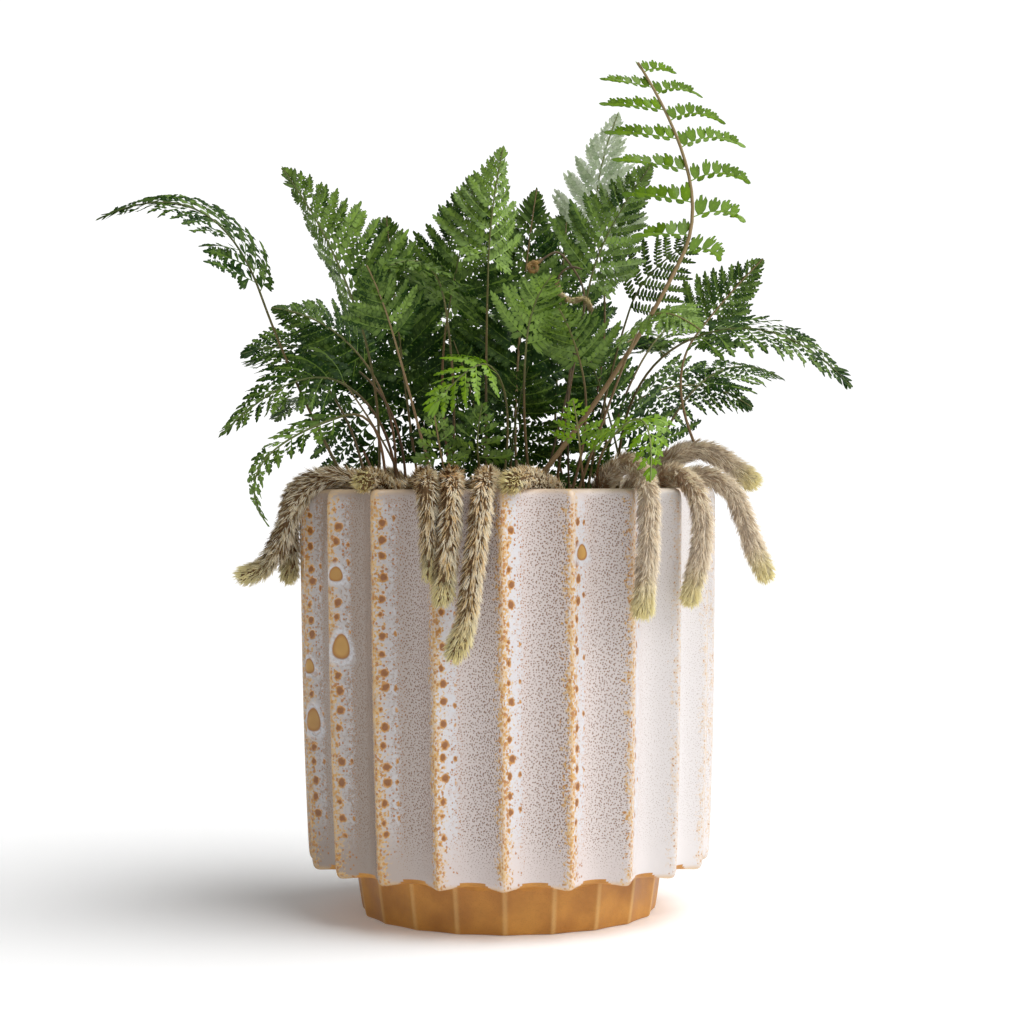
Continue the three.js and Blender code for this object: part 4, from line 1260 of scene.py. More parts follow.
class FERN_OT_potting_mix(bpy.types.Operator):
    """Model the potting mix with its bark chips"""
    bl_idname = "fern.potting_mix"
    bl_label = "Potting Mix"

    def execute(self, context):
        settings = context.scene.fern_mix
        edge = settings.edge_height
        rise = settings.crown_height - edge
        deselect()
        radius, height = MIX_FOOT[0], MIX_FOOT[1] * MM
        bpy.ops.mesh.primitive_circle_add(
            vertices=96, radius=radius * MM, fill_type="NGON", location=(0, 0, height))
        body = context.object
        bpy.ops.object.mode_set(mode="EDIT")
        rings = [(MIX_SHOULDER[0], MIX_SHOULDER[1] * MM)]
        rings += [(ring, edge + share * rise) for ring, share in MIX_TOP]
        for next_radius, next_height in rings:
            bpy.ops.mesh.extrude_region_move(
                TRANSFORM_OT_translate={"value": (0, 0, next_height - height)})
            share = next_radius / radius
            bpy.ops.transform.resize(
                value=(share, share, 1), center_override=(0, 0, next_height))
            radius, height = next_radius, next_height
        bpy.ops.mesh.select_all(action="SELECT")
        bpy.ops.mesh.normals_make_consistent(inside=False)
        top = [v.index for v in bmesh.from_edit_mesh(body.data).verts if v.co.z > edge - 0.0005]
        select_vertices(body.data, top)
        bpy.ops.mesh.subdivide(number_cuts=1)
        bpy.ops.object.mode_set(mode="OBJECT")
        bpy.ops.object.transform_apply(location=True, rotation=True, scale=True)
        bump_height, bumps_per_metre, bumpy_reach = 0.0016, 160, 0.0785
        for corner in body.data.vertices:
            reach = math.hypot(corner.co.x, corner.co.y)
            if corner.co.z > edge - 0.0002 and reach < bumpy_reach:
                bumps = noise.fractal(corner.co * bumps_per_metre, 1, 2, 4)
                corner.co.z += bump_height * bumps
        self.add_chips(body, settings)
        body.data.materials.append(mix_material(settings))
        smooth_by_angle(body, 40)
        settle(body, "Potting_mix", ["potting_mix"])
        return {"FINISHED"}

    def add_chips(self, body, settings):
        """Press small worn bark chips into the mix, each a copy of one bevelled block."""
        deselect()
        bpy.ops.mesh.primitive_cube_add(size=1, location=(0, 0, 0))
        chip = bpy.context.object
        bpy.ops.object.mode_set(mode="EDIT")
        bpy.ops.transform.resize(value=(1, 0.6, 0.35), center_override=(0, 0, 0))
        bpy.ops.mesh.bevel(offset=0.09, segments=1)
        bpy.ops.object.mode_set(mode="OBJECT")
        corners = places_of(chip.data)
        faces = [list(face.vertices) for face in chip.data.polygons]
        spread = np.random.default_rng(11)
        new_corners, new_faces = [], []
        for _ in range(settings.chips):
            turn = spread.uniform(0, 2 * np.pi)
            reach = 0.076 * math.sqrt(spread.uniform(0, 1))
            size = spread.uniform(0.003, 0.0085)
            sway = spread.uniform(-0.5, 0.5, 2)
            spin = spread.uniform(0, 2 * np.pi)
            height = settings.edge_height + (settings.crown_height - settings.edge_height) * (
                1 - reach / 0.08)
            shape = corners * size * (1 + 0.12 * spread.standard_normal(corners.shape))
            shape = turned(shape, spin, sway)
            where = np.array([reach * math.sin(turn), -reach * math.cos(turn), height + 0.0004])
            first = len(new_corners) * len(corners)
            new_corners.append(shape + where)
            new_faces += [[first + corner for corner in face] for face in faces]
        mesh = bpy.data.meshes.new("chips")
        mesh.from_pydata(np.concatenate(new_corners).tolist(), [], new_faces)
        chips = bpy.data.objects.new("chips", mesh)
        bpy.context.scene.collection.objects.link(chips)
        bpy.data.objects.remove(chip)
        deselect()
        chips.select_set(True)
        body.select_set(True)
        bpy.context.view_layer.objects.active = body
        bpy.ops.object.join()


def turned(shape, spin, sway):
    """A shape turned about Z and then leant about X and Y."""
    c, s = math.cos(spin), math.sin(spin)
    shape = shape @ np.array([[c, s, 0], [-s, c, 0], [0, 0, 1]])
    c, s = math.cos(sway[0]), math.sin(sway[0])
    shape = shape @ np.array([[1, 0, 0], [0, c, s], [0, -s, c]])
    c, s = math.cos(sway[1]), math.sin(sway[1])
    return shape @ np.array([[c, 0, -s], [0, 1, 0], [s, 0, c]])


class FERN_OT_rhizomes(bpy.types.Operator):
    """Grow the furry rhizomes over the mix and the rim"""
    bl_idname = "fern.rhizomes"
    bl_label = "Rhizomes"

    def execute(self, context):
        settings = context.scene.fern_rhizomes
        fur = fur_material(settings)
        for number, (name, (tip, warmth, path)) in enumerate(RHIZOMES.items()):
            self.grow(name, tip, warmth, path, number, settings, fur)
        return {"FINISHED"}

    def grow(self, name, tip, warmth, path, number, settings, fur):
        spread = np.random.default_rng(100 + number)
        base = settings.radius / MM
        spine = smooth_path([seen(point) for point in path], 60)
        length = length_of(spine)
        spine = evenly(spine, max(12, int(length / 2.5)))
        share = np.linspace(0, 1, len(spine))
        radii = base + (tip - 0.1 - base) * np.maximum(0, share - 0.6) / 0.4
        radii *= 1 + 0.05 * np.sin(share * length * 0.35 + number)
        from_end = (1 - share) * length
        radii *= np.sqrt(np.clip(1 - (1 - np.clip(from_end / tip, 0, 1)) ** 2, 0.02, 1))
        corners, faces = tube(spine, radii, CORE_SIDES)
        hairs = int(settings.density * 2 * math.pi * base * length)
        hairs = hairs
        at = spread.uniform(0, 1, hairs) ** 0.97 * 0.995
        around = spread.uniform(0, 2 * np.pi, hairs)
        tangents, normals, binormals = frames_along(spine)
        forward = rows_at(at, share, tangents)
        outward = (np.cos(around)[:, None] * rows_at(at, share, normals)
                   + np.sin(around)[:, None] * rows_at(at, share, binormals))
        radius = np.interp(at, share, radii)
        root = rows_at(at, share, spine) + outward * (radius - 0.25)[:, None]
        lift = np.radians(np.clip(spread.normal(34, 12, hairs), 6, 75))
        to_end = np.clip((1 - at) * length / 6, 0, 1)
        lift *= 0.45 + 0.55 * to_end
        aside = np.cross(forward, outward)
        sway = spread.normal(0, 0.28, hairs)[:, None]
        way = unit_rows(
            forward * np.cos(lift)[:, None] + outward * np.sin(lift)[:, None] + aside * sway)
        reach = settings.hair_length / MM * np.clip(spread.normal(1, 0.22, hairs), 0.4, 1.7)
        reach *= 0.7 + 0.3 * to_end
        end, tints = self.lean_together(root + way * reach[:, None], around, at * length, spread)
        tints += LIT_SIDE * outward[:, 0]
        end = self.keep_outside(end)
        half = settings.hair_width / MM / 2
        count = len(corners)
        order = count + 4 * np.arange(hairs)[:, None]
        triangles = np.concatenate([
            order + [0, 1, 3], order + [1, 2, 3], order + [2, 0, 3], order + [1, 0, 2]])
        corners = np.concatenate([corners, self.hair_corners(root, end, way, outward, half)])
        values = {
            "along": np.concatenate([np.repeat(share, CORE_SIDES), np.repeat(at, 4)]),
            "tint": np.concatenate([np.full(count, 0.25), np.repeat(np.clip(tints, 0, 1), 4)]),
            "height": np.concatenate([np.zeros(count), np.tile([0.25, 0.25, 0.25, 1], hairs)]),
            "warmth": np.full(len(corners), warmth),
        }
        faces = [*faces, *triangles.tolist()]
        piece = mesh_piece(name, corners, faces, [fur], np.zeros(len(faces)), values)
        smooth_by_angle(piece, 50)
        settle(piece, name.capitalize(), [name])

    def lean_together(self, ends, around, distance, spread):
        """Draw the hair ends of each tuft together, and give each hair a tint near its tuft's."""
        column = (around / (2 * np.pi) * TUFTS_ROUND).astype(int)
        row = (distance / TUFT_LENGTH + 0.5 * (column % 2)).astype(int)
        tuft = row * TUFTS_ROUND + column
        members = np.maximum(np.bincount(tuft), 1)
        middles = np.stack([np.bincount(tuft, ends[:, axis]) / members for axis in range(3)], axis=1)
        ends = ends + 0.5 * (middles[tuft] - ends)
        tints = spread.uniform(0, 1, len(ends))
        tints += 0.8 * spread.uniform(-0.5, 0.5, len(members))[tuft]
        return ends, tints

    def hair_corners(self, root, end, way, outward, half):
        """Four corners for each hair: three round its root, and its end."""
        sideways = unit_rows(np.cross(way, outward))
        above = np.cross(sideways, way)
        corners = [root + sideways * half, root - sideways * half, root + above * half * 1.2, end]
        return np.stack(corners, axis=1).reshape(-1, 3)

    def keep_outside(self, ends):
        """Lay hair ends that would enter the planter against its wall or on its rim."""
        turn = np.arctan2(ends[:, 0], -ends[:, 1])
        reach = np.hypot(ends[:, 0], ends[:, 1])
        wall = planter_radius(turn, ends[:, 2]) + HAIR_GAP
        low = ends[:, 2] < WALL_TOP - RIM_ROUNDING
        inside = low & (reach < wall) & (reach > INNER_WALL + 1)
        scale = np.where(inside, wall / reach, 1)
        ends[:, 0] *= scale
        ends[:, 1] *= scale
        top = WALL_TOP + RIM_GAP
        over = (~low) & (ends[:, 2] < top) & (reach < wall) & (reach > INNER_WALL)
        ends[:, 2] = np.where(over, top, ends[:, 2])
        return ends


def leaflet_shape(outline):
    """Corners and faces of one leaflet along +Y, one unit long and wide, closed above and below:
    a disc whose rim corners are drawn out to the teeth."""
    deselect()
    count = len(outline)
    bpy.ops.mesh.primitive_circle_add(vertices=count, radius=0.5, fill_type="TRIFAN")
    leaflet = bpy.context.object
    places = places_of(leaflet.data)
    rim = np.hypot(places[:, 0], places[:, 1]) > 0.4
    turn = np.arctan2(places[:, 0], places[:, 1])
    foot = -math.pi + math.pi / count
    order = np.flatnonzero(rim)[np.argsort((turn[rim] - foot) % (2 * math.pi))]
    bpy.ops.object.mode_set(mode="EDIT")
    for corner, (x, y) in zip(order, outline):
        select_vertices(leaflet.data, [corner])
        bpy.ops.transform.translate(value=(x - places[corner][0], y - places[corner][1], 0))
    select_vertices(leaflet.data, np.flatnonzero(~rim))
    bpy.ops.transform.translate(value=(0, 0.46, 0.5))
    bpy.ops.mesh.select_all(action="SELECT")
    bpy.ops.mesh.duplicate_move()
    bpy.ops.transform.resize(value=(1, 1, -1), center_override=(0, 0, 0))
    bpy.ops.mesh.select_all(action="SELECT")
    bpy.ops.mesh.remove_doubles(threshold=0.001)
    bpy.ops.mesh.normals_make_consistent(inside=False)
    bpy.ops.object.mode_set(mode="OBJECT")
    corners = places_of(leaflet.data)
    faces = np.array([list(face.vertices) for face in leaflet.data.polygons])
    middle = abs(corners[:, 2]) > 0.2
    under = np.array([face.normal.z < 0 for face in leaflet.data.polygons])
    bpy.data.objects.remove(leaflet)
    return corners, faces, ~middle, under


class Blade:
    """The divided blade of one frond, laid out flat and then bent along its rachis. Flat places
    are [across, along, above] in millimetres."""

    def __init__(self, length, width, habit, spread):
        self.length = length
        self.half = width / 2
        self.habit = habit
        self.spread = spread
        self.leaflets = []
        self.stems = []
        self.tone = 0

    def lay_out(self):
        share, base = self.habit["row"]
        widest = share * self.length + base
        for side in (-1, 1):
            at = FIRST_ROW + (0.5 * widest / self.length if side > 0 else 0)
            while at < self.habit["comb"]:
                spacing = widest * (1 - self.habit["gather"] * at)
                self.tone = self.spread.normal(0, 0.16)
                self.lay_row(at, side, spacing)
                at += spacing * self.spread.uniform(0.9, 1.1) / self.length
            self.tone = 0
            while at < LAST_LOBE:
                self.lay_row(at, side, 0)
                at += max(1.2, 2 * (1.4 - at) / 0.5) / self.length
        self.add_leaflet(np.array([0, 0.955 * self.length, 0]), np.array([0, 1.0, 0]),
                         np.array([1.0, 0, 0]), 0.06 * self.length, 1.7, "lobe")

    def lay_row(self, at, side, spacing):
        """One row of leaflets on its own stalk, from the rachis to the blade's outline, or near
        the tip one simple lobe."""
        start = at * self.length
        first, last = self.habit["angles"]
        angle = math.radians(first + (last - first) * at + self.spread.normal(0, 2.5))
        slope = self.half / ((1 - WIDEST) * self.length)
        reach = slope * (self.length - start) / (math.sin(angle) + slope * math.cos(angle))
        reach *= self.habit["reach"] * (1 - at) ** (self.habit["outline"] - 1)
        reach *= self.spread.uniform(0.93, 1.04)
        if self.habit is HABITS["young"]:
            reach *= min(1, YOUNG_WAIST + at)
        origin = np.array([0, start, 0.0])
        if spacing == 0 or reach < SHORTEST_ROW:
            way = np.array([side * math.sin(angle), math.cos(angle), 0])
            across = np.array([-math.cos(angle) * side, math.sin(angle), 0])
            self.add_leaflet(origin, way, across, reach * 1.1 + 0.6, 2.3, "lobe")
            return
        roll = math.radians(self.spread.normal(*self.habit["roll"]))
        size = min(self.habit["leaflet"] * spacing, 0.3 * reach + 1.2)
        self.lay_axis(origin, angle, side, reach, size, roll, at)

    def lay_axis(self, origin, angle, side, reach, size, roll, at):
        """A stalk of leaflets: it curves towards the blade's tip and sags at its end."""
        habit = self.habit
        sag = habit["sag"] * self.spread.uniform(0.4, 1.6)
        bend = math.radians(habit["bend"][0 if side > 0 else 1] * self.spread.uniform(0.7, 1.3))
        count = max(5, int(reach / 3.5))
        shares = np.linspace(0, 1, count + 1)
        angles = angle - bend * shares
        ways = unit_rows(
            np.stack([side * np.sin(angles), np.cos(angles), -2 * sag * shares], axis=1))
        spine = origin + np.concatenate([[np.zeros(3)], np.cumsum(
            (ways[1:] + ways[:-1]) / 2 * reach / count, axis=0)])
        flat = np.stack([-np.cos(angles) * side, np.sin(angles), np.zeros(count + 1)], axis=1)
        lift = np.array([0, 0, 1.0])
        fronts = flat * math.cos(roll) + lift * math.sin(roll)
        self.stems.append((spine, fronts, size))
        step = habit["step"] * size
        distance = step * 0.6
        upper = True
        while distance < reach - 0.4 * step:
            share = distance / reach
            where, way, front = (
                np.array([np.interp(share, shares, table[:, axis]) for axis in range(3)])
                for table in (spine, ways, fronts))
            profile = ((1 - share) ** habit["taper"] * 0.82 + 0.28) * min(1, 0.8 + 1.6 * share)
            long = size * profile
            foot, end = habit["lean"]
            lean = math.radians(foot + (end - foot) * share + self.spread.normal(0, 3))
            if not upper:
                front = -front
                long *= habit["lower"]
            if at < 0.1 and share < 0.5 and not upper and habit["lower"] > 0.75:
                long = max(long, min(0.34 * reach, 13) * (1 - share * 1.3))
            if long > 7 and size < 6:
                self.lay_branch(where, way, front, long, lean)
            else:
                direction = way * math.cos(lean) + front * math.sin(lean)
                across = way * math.sin(lean) - front * math.cos(lean)
                wide = step * (0.94 - 0.2 * share)
                kind = "lobe" if long < SHORTEST_TOOTHED else habit["shape"]
                # Painted light and shade: leaflets on the upper side of a row lighter, on the lower
                # side darker
                painted_shading = UPPER_PAINTED_LIGHT if upper else LOWER_PAINTED_SHADE
                self.add_leaflet(where, direction, across, long, wide, kind, painted_shading)
            upper = not upper
            distance += step * 0.5 * (1 - 0.3 * share) * self.spread.uniform(0.84, 1.16)
        self.add_leaflet(spine[-1] - ways[-1] * 1.4, ways[-1], fronts[-1],
                         0.42 * size + 1.6, 0.3 * size + 0.5, "lobe")

    def lay_branch(self, where, way, front, reach, lean):
        """A longer division that carries leaflets of its own."""
        direction = way * math.cos(lean) + front * math.sin(lean)
        across = way * math.sin(lean) - front * math.cos(lean)
        count = 3
        spine = where + direction * np.linspace(0, reach, count + 1)[:, None]
        self.stems.append((spine, np.tile(across, (count + 1, 1)), 3.4))
        step = 2.4
        distance = 1.5
        left = True
        while distance < reach - 0.8:
            share = distance / reach
            aside = across if left else -across
            tilt = math.radians(50)
            self.add_leaflet(where + direction * distance,
                             direction * math.cos(tilt) + aside * math.sin(tilt),
                             direction * math.sin(tilt) - aside * math.cos(tilt),
                             3.6 * (1 - 0.5 * share), 2.5, "wedge" if share < 0.5 else "lobe")
            left = not left
            distance += step / 2
        self.add_leaflet(where + direction * (reach - 0.9), direction, across, 2.4, 1.7, "lobe")

    def add_leaflet(self, where, direction, across, long, wide, kind, painted_shading=0):
        above = np.cross(across, direction)
        direction = unit(direction + above * self.spread.normal(-0.04, 0.12))
        across = across + above * self.spread.normal(0, 0.17)
        across = unit(across - direction * (across @ direction))
        tone = self.tone + painted_shading + self.spread.normal(0, 0.1)
        long *= self.spread.uniform(0.92, 1.08)
        self.leaflets.append((kind, where, direction, across, long, wide, tone))


class FERN_OT_fronds(bpy.types.Operator):
    """Grow the fronds, each a stalk with a much-divided blade"""
    bl_idname = "fern.fronds"
    bl_label = "Fronds"

    def execute(self, context):
        settings = context.scene.fern_fronds
        self.stalk_radius = settings.stalk_radius / MM
        self.inner_shade = settings.inner_shade
        self.shapes = {kind: leaflet_shape(outline) for kind, outline in OUTLINES.items()}
        stalk = stalk_material(settings)
        dark, light, young = settings.leaf_dark, settings.leaf_light, settings.young
        fresh = (0.09, 0.18, 0.01)
        # Painted sheen: the pale frond's whitish green stands for the sheen on it
        silver = (0.2, 0.33, 0.1)
        pale = (0.82, 0.92, 0.64)
        looks = {}
        for label, low, high, through in (
                ("mature", dark, light, 0.2), ("young", fresh, young, 0.32),
                ("pale", silver, pale, 0.42)):
            looks[label] = [
                stalk,
                leaf_material(f"{label} leaflet", low, high, False, through),
                leaf_material(f"{label} leaflet underside", low, high, True, through),
            ]
        for number, (name, row) in enumerate(FRONDS.items()):
            habit = row[7]
            look = "pale" if habit == "pale" else "young" if habit in YOUNG_HABITS else "mature"
            self.grow(name, row, number, looks[look])
        return {"FINISHED"}

    def grow(self, name, row, number, materials):
        foot, neck, crown, tip, width, turn, tilt, habit, green = row
        spread = np.random.default_rng(500 + number)
        start = seen([foot[0], foot[1], foot[2] if len(foot) > 2 else STALK_FOOT])
        middle, bend, end = seen(neck), seen(crown), seen(tip)
        knee = middle - unit(bend - middle) * KNEE_SHARE * np.linalg.norm(middle - start)
        stalk = curve_through(start, knee, middle)
        rachis = curve_through(middle, bend, end)
        turn, tilt = math.radians(turn), math.radians(tilt)
        face = np.array([math.sin(turn) * math.cos(tilt), -math.cos(turn) * math.cos(tilt),
                         math.sin(tilt)])
        side = unit(np.cross(face, end - middle))
        blade = Blade(length_of(rachis), width, HABITS[habit], spread)
        blade.lay_out()
        bender = Bender(rachis, side, width / 2, FOLDS.get(name, (0, 0)), TWISTS.get(name, 0))
        parts = Parts()
        self.add_stem(parts, stalk, rachis, bender, green, HABITS[habit]["stalk"], spread)
        for spine, fronts, size in blade.stems:
            self.add_costa(parts, bender, spine, fronts, size, green)
        for kind in self.shapes:
            self.add_leaflets(parts, bender, [row for row in blade.leaflets if row[0] == kind],
                              kind, green)
        piece = mesh_piece(name, *parts.joined(), materials, parts.kinds, parts.values())
        smooth_by_angle(piece, 55)
        settle(piece, name.capitalize(), [name])

    def add_stem(self, parts, stalk, rachis, bender, green, thickness, spread):
        spine = evenly(np.concatenate([stalk, rachis[1:]]), 34)
        share = np.linspace(0, 1, len(spine))
        radii = self.stalk_radius + (0.32 - self.stalk_radius) * share
        radii *= thickness * (1 + 0.5 * np.exp(-share * 40))
        corners, faces = tube(spine, radii, 7)
        stalk_length = length_of(stalk)
        full = stalk_length + bender.length
        along = np.repeat(share * full / stalk_length, 7)
        tan = max(spread.uniform(0, 1), thickness - 0.8)
        parts.add(corners, faces, 0, green, along, tan)

    def add_costa(self, parts, bender, spine, fronts, size, green):
        """A leaflet stalk with the strip of leaf along it, which widens towards its tip."""
        ups = np.cross(fronts, unit_rows(np.gradient(spine, axis=0)))
        share = np.linspace(0, 1, len(spine))
        grown = np.clip((share - 0.45) / 0.45, 0, 1)
        wide = 0.28 + 0.16 * min(size, 5) * grown ** 2 * (3 - 2 * grown)
        wide = wide * np.where(share > 0.95, 0.5, 1)
        corners, faces = tube(spine, (wide, np.full(len(spine), 0.14)), 4, flat=(fronts, ups))
        bent = bender.bend(corners)
        parts.add(bent, faces, 1, green, np.full(len(bent), 1.4), 0.12)

    def add_leaflets(self, parts, bender, rows, kind, green):
        if not rows:
            return
        corners, faces, rim, under = self.shapes[kind]
        where = np.array([row[1] for row in rows])
        direction = np.array([row[2] for row in rows])
        across = np.array([row[3] for row in rows])
        long = np.array([row[4] for row in rows])[:, None]
        wide = np.array([row[5] for row in rows])[:, None]
        tone = np.array([row[6] for row in rows])
        above = np.cross(across, direction)
        x, y, z = corners[:, 0], corners[:, 1], corners[:, 2]
        cup = -0.09 * (2 * abs(x)) ** 2 - 0.16 * y ** 2
        flat = (where[:, None, :]
                + (long * y)[:, :, None] * direction[:, None, :]
                + (wide * x)[:, :, None] * across[:, None, :]
                + (0.24 * z + cup * 0.35 * long)[:, :, None] * above[:, None, :])
        bent = bender.bend(flat.reshape(-1, 3))
        count = len(corners)
        order = count * np.arange(len(rows))[:, None, None]
        all_faces = (faces[None, :, :] + order).reshape(-1, faces.shape[1])
        kinds = np.tile(np.where(under, 2, 1), len(rows))
        edge = np.tile(rim.astype(float), len(rows))
        middle = bent.reshape(len(rows), count, 3).mean(axis=1)
        deep = np.clip((SHADED_BELOW - middle[:, 2]) / DARKEST_BELOW, 0, 1)
        deep *= np.clip((middle[:, 1] - SHADED_BEHIND) / DARKEST_BEHIND, 0, 1)
        tones = np.repeat(np.clip(green + tone - self.inner_shade * deep, 0, 1), count)
        parts.add(bent, all_faces.tolist(), kinds.tolist(), tones, np.full(len(bent), 1.5), edge)


def curve_through(start, bend, end):
    t = np.linspace(0, 1, 49)[:, None]
    dense = (1 - t) ** 2 * start + 2 * t * (1 - t) * bend + t ** 2 * end
    return evenly(dense, 41)


class Bender:
    """Bends flat places [across, along, above] onto a rachis, with each half of the blade turned
    up by its fold. The side vector stays the same unless the blade is twisted."""

    def __init__(self, rachis, side, half, folds, twist):
        self.rachis = rachis
        self.half = half
        self.folds = np.radians(folds)
        steps = np.linalg.norm(np.diff(rachis, axis=0), axis=1)
        self.along = np.concatenate([[0], np.cumsum(steps)])
        self.length = self.along[-1]
        self.tangents = unit_rows(np.gradient(rachis, axis=0))
        self.sides = np.tile(side, (len(rachis), 1))
        if twist:
            angles = np.radians(twist) * (1 - self.along / self.length) ** 2
            for number, (tangent, angle) in enumerate(zip(self.tangents, angles)):
                square = unit(side - tangent * (side @ tangent))
                self.sides[number] = (square * math.cos(angle)
                                      + np.cross(tangent, square) * math.sin(angle))

    def bend(self, flat):
        across, along, above = flat[:, 0], flat[:, 1], flat[:, 2]
        above = above - 0.1 * across ** 2 / self.half
        half = np.sign(across)
        fold = np.where(across > 0, *self.folds)
        across, above = (across * np.cos(fold) - half * above * np.sin(fold),
                         abs(across) * np.sin(fold) + above * np.cos(fold))
        inside = np.clip(along, 0, self.length)
        centre = rows_at(inside, self.along, self.rachis)
        tangent = rows_at(inside, self.along, self.tangents)
        centre = centre + tangent * (along - inside)[:, None]
        side = rows_at(inside, self.along, self.sides)
        up = unit_rows(np.cross(tangent, side))
        return centre + across[:, None] * side + above[:, None] * up


class Parts:
    """Corners, faces and values gathered for one piece."""

    def __init__(self):
        self.corners = []
        self.faces = []
        self.kinds = []
        self.tones = []
        self.alongs = []
        self.edges = []
        self.count = 0

    def add(self, corners, faces, kinds, tone, along, edge):
        self.corners.append(corners)
        self.faces += [[self.count + corner for corner in face] for face in faces]
        self.kinds += [kinds] * len(faces) if isinstance(kinds, int) else list(kinds)
        size = len(corners)
        self.tones.append(np.broadcast_to(tone, size))
        self.alongs.append(np.broadcast_to(along, size))
        self.edges.append(np.broadcast_to(edge, size))
        self.count += size

    def joined(self):
        return np.concatenate(self.corners), self.faces

    def values(self):
        return {
            "tone": np.concatenate(self.tones),
            "along": np.concatenate(self.alongs),
            "edge": np.concatenate(self.edges),
        }


class FERN_OT_croziers(bpy.types.Operator):
    """Grow the young fronds that are still rolled up"""
    bl_idname = "fern.croziers"
    bl_label = "Croziers"

    def execute(self, context):
        material = crozier_material()
        self.scale = leaflet_shape(OUTLINES["lobe"])
        for number, name in enumerate(CROZIERS):
            self.grow(name, number, material)
        return {"FINISHED"}

    def grow(self, name, number, material):
        foot, path, middle, radius, start, winding = CROZIERS[name]
        spread = np.random.default_rng(900 + number)
        tight = radius < 4
        centre = seen(middle)
        points = [seen([*foot, STALK_FOOT]), *[seen(point) for point in path]]
        for step in range(14 if tight else 7):
            angle = math.radians(start + winding * 40 * step)
            reach = radius * (1.12 - (0.06 if tight else 0.02) * step)
            points.append(centre + reach * np.array([math.cos(angle), 0.02 * step, math.sin(angle)]))
        spine = smooth_path(points, 240)
        share = np.linspace(0, 1, len(spine))
        from_end = length_of(spine) * (1 - share)
        # The coil and its scales lie between these distances from the end
        first, last = (14, 0) if tight else (36, 17)
        coil = np.clip(1 - (from_end - first) / 4, 0, 1) * np.clip((from_end - last) / 4 + 1, 0, 1)
        radii = 0.5 + (0.45 if tight else 0.65) * coil
        radii *= np.where(share > 0.99, 0.6, 1)
        corners, faces = tube(spine, radii, 7)
        parts = Parts()
        parts.add(corners, faces, 0, 0.15 if tight else 0.55, np.repeat(coil, 7), 0)
        tangents, normals, binormals = frames_along(spine)
        covered = np.flatnonzero(coil > 0.3)
        for _ in range(150 if tight else 220):
            at = spread.choice(covered)
            around = spread.uniform(0, 2 * math.pi)
            out = math.cos(around) * normals[at] + math.sin(around) * binormals[at]
            lift = spread.uniform(0.15, 0.8)
            way = unit(tangents[at] + out * lift)
            across = unit(np.cross(way, out))
            size = spread.uniform(1.1, 2.1) * (0.7 if tight else 1)
            shape, shape_faces, _, _ = self.scale
            above = np.cross(across, way)
            placed = (spine[at] + out * radii[at] * 0.85 + np.outer(shape[:, 1] * size, way)
                      + np.outer(shape[:, 0] * size * 0.5, across)
                      + np.outer(shape[:, 2] * 0.2, above))
            tone = spread.uniform(0, 0.4) if tight else spread.uniform(0.35, 1)
            parts.add(placed, shape_faces.tolist(), 0, tone, coil[at], 0)
        piece = mesh_piece(name, *parts.joined(), [material], parts.kinds, parts.values())
        smooth_by_angle(piece, 60)
        settle(piece, name.capitalize(), [name])


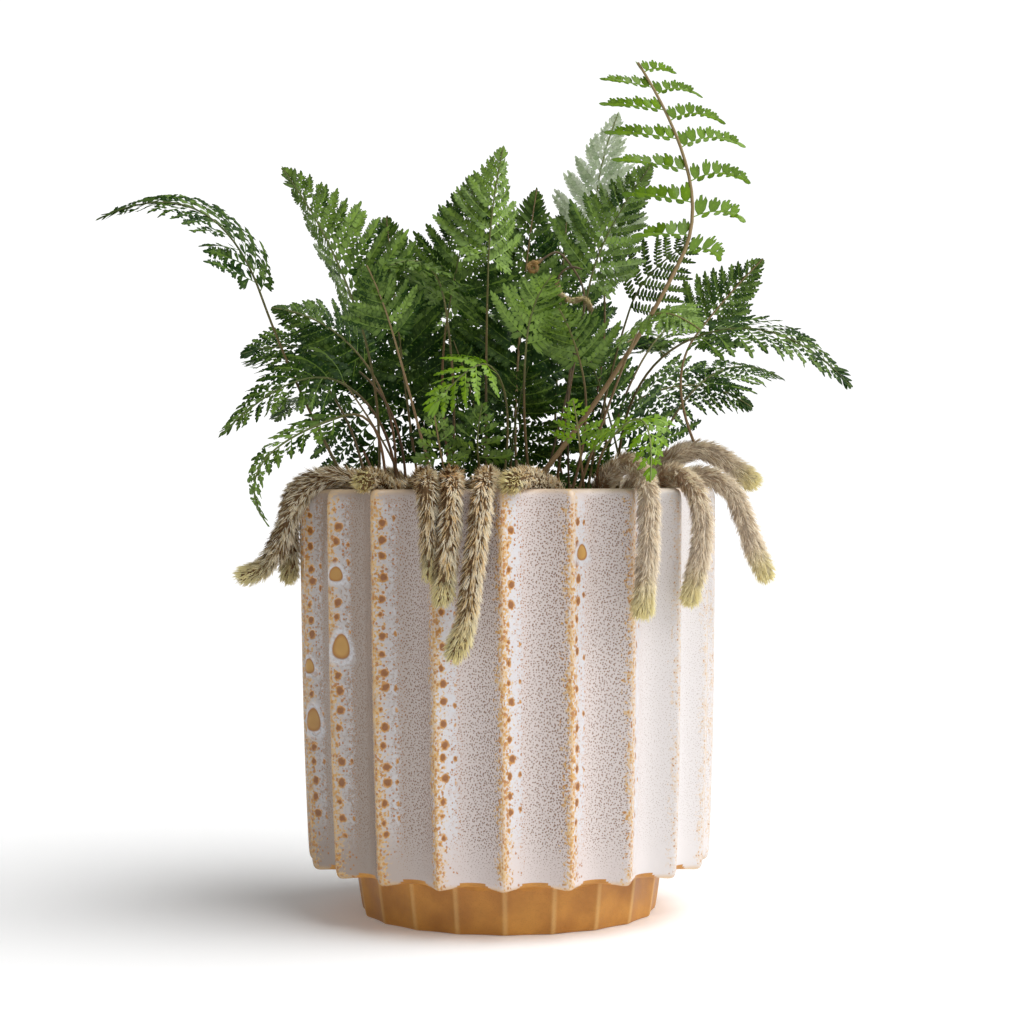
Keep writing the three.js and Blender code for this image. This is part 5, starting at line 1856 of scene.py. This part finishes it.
class FERN_OT_stage(bpy.types.Operator):
    """Set up the floor, the soft light and the camera"""
    bl_idname = "fern.stage"
    bl_label = "Stage"

    def execute(self, context):
        settings = context.scene.fern_stage
        scene = context.scene
        scene.view_settings.view_transform = "Standard"
        deselect()
        bpy.ops.mesh.primitive_plane_add(size=200, location=(0, 0, 0))
        floor = context.object
        floor.name = "Floor"
        material, _, shader = new_material("white floor")
        shader.inputs["Base Color"].default_value = (0.93, 0.93, 0.93, 1)
        shader.inputs["Roughness"].default_value = 0.9
        shader.inputs["Specular IOR Level"].default_value = 0.1
        shader.inputs["Emission Color"].default_value = (1, 1, 1, 1)
        shader.inputs["Emission Strength"].default_value = settings.floor_glow
        floor.data.materials.append(material)
        bpy.ops.object.camera_add(location=(0, -settings.distance, settings.height))
        camera = context.object
        camera.rotation_euler = (math.pi / 2 - settings.pitch, settings.roll, -settings.pan)
        camera.data.lens = settings.lens
        camera.data.sensor_width = 36
        scene.camera = camera
        self.soft_light("Key light", settings.key_turn, settings.key_height,
                        settings.key_size, settings.key_strength)
        self.room(scene, settings)
        return {"FINISHED"}

    def soft_light(self, name, turn, height, size, strength):
        """A distant soft light, turned from the front towards +X and raised above the floor."""
        bpy.ops.object.light_add(type="SUN", location=(0.6, -0.4, 1))
        light = bpy.context.object
        light.name = name
        light.data.angle = size
        light.data.energy = strength
        light.rotation_euler = (math.pi / 2 - height, 0, turn)

    def room(self, scene, settings):
        """White all round: plain to the camera, and dimmer as a light."""
        world = bpy.data.worlds.new("white room")
        world.use_nodes = True
        scene.world = world
        tree = world.node_tree
        seen_by_camera = node(tree, "ShaderNodeLightPath").outputs["Is Camera Ray"]
        strength = maths(tree, "MULTIPLY_ADD", seen_by_camera, 1.1 - settings.sky, settings.sky)
        background = tree.nodes["Background"]
        background.inputs["Color"].default_value = (1, 1, 1, 1)
        tree.links.new(strength, background.inputs["Strength"])


class FERN_PT_panel(bpy.types.Panel):
    bl_label = "Rabbit's Foot Fern"
    bl_idname = "FERN_PT_panel"
    bl_space_type = "VIEW_3D"
    bl_region_type = "UI"
    bl_category = "Fern"

    def draw(self, context):
        for operator, label in STEPS:
            box = self.layout.box()
            box.operator(operator.bl_idname)
            if label:
                group = getattr(context.scene, label)
                for name in group.__annotations__:
                    box.prop(group, name)


# The operators in order, each with the name of its settings. The croziers have none.
STEPS = [
    (FERN_OT_planter, "fern_planter"),
    (FERN_OT_potting_mix, "fern_mix"),
    (FERN_OT_rhizomes, "fern_rhizomes"),
    (FERN_OT_croziers, None),
    (FERN_OT_fronds, "fern_fronds"),
    (FERN_OT_stage, "fern_stage"),
]
SETTINGS = {
    "fern_planter": FernPlanterSettings,
    "fern_mix": FernMixSettings,
    "fern_rhizomes": FernRhizomeSettings,
    "fern_fronds": FernFrondSettings,
    "fern_stage": FernStageSettings,
}
CLASSES = [*SETTINGS.values(), *[operator for operator, _ in STEPS], FERN_PT_panel]


def register():
    for kind in CLASSES:
        bpy.utils.register_class(kind)
    for label, kind in SETTINGS.items():
        setattr(bpy.types.Scene, label, bpy.props.PointerProperty(type=kind))


def unregister():
    for label in SETTINGS:
        delattr(bpy.types.Scene, label)
    for kind in reversed(CLASSES):
        bpy.utils.unregister_class(kind)


def main():
    register()
    bpy.ops.fern.planter()
    bpy.ops.fern.potting_mix()
    bpy.ops.fern.rhizomes()
    bpy.ops.fern.croziers()
    bpy.ops.fern.fronds()
    bpy.ops.fern.stage()


if __name__ == "__main__":
    main()
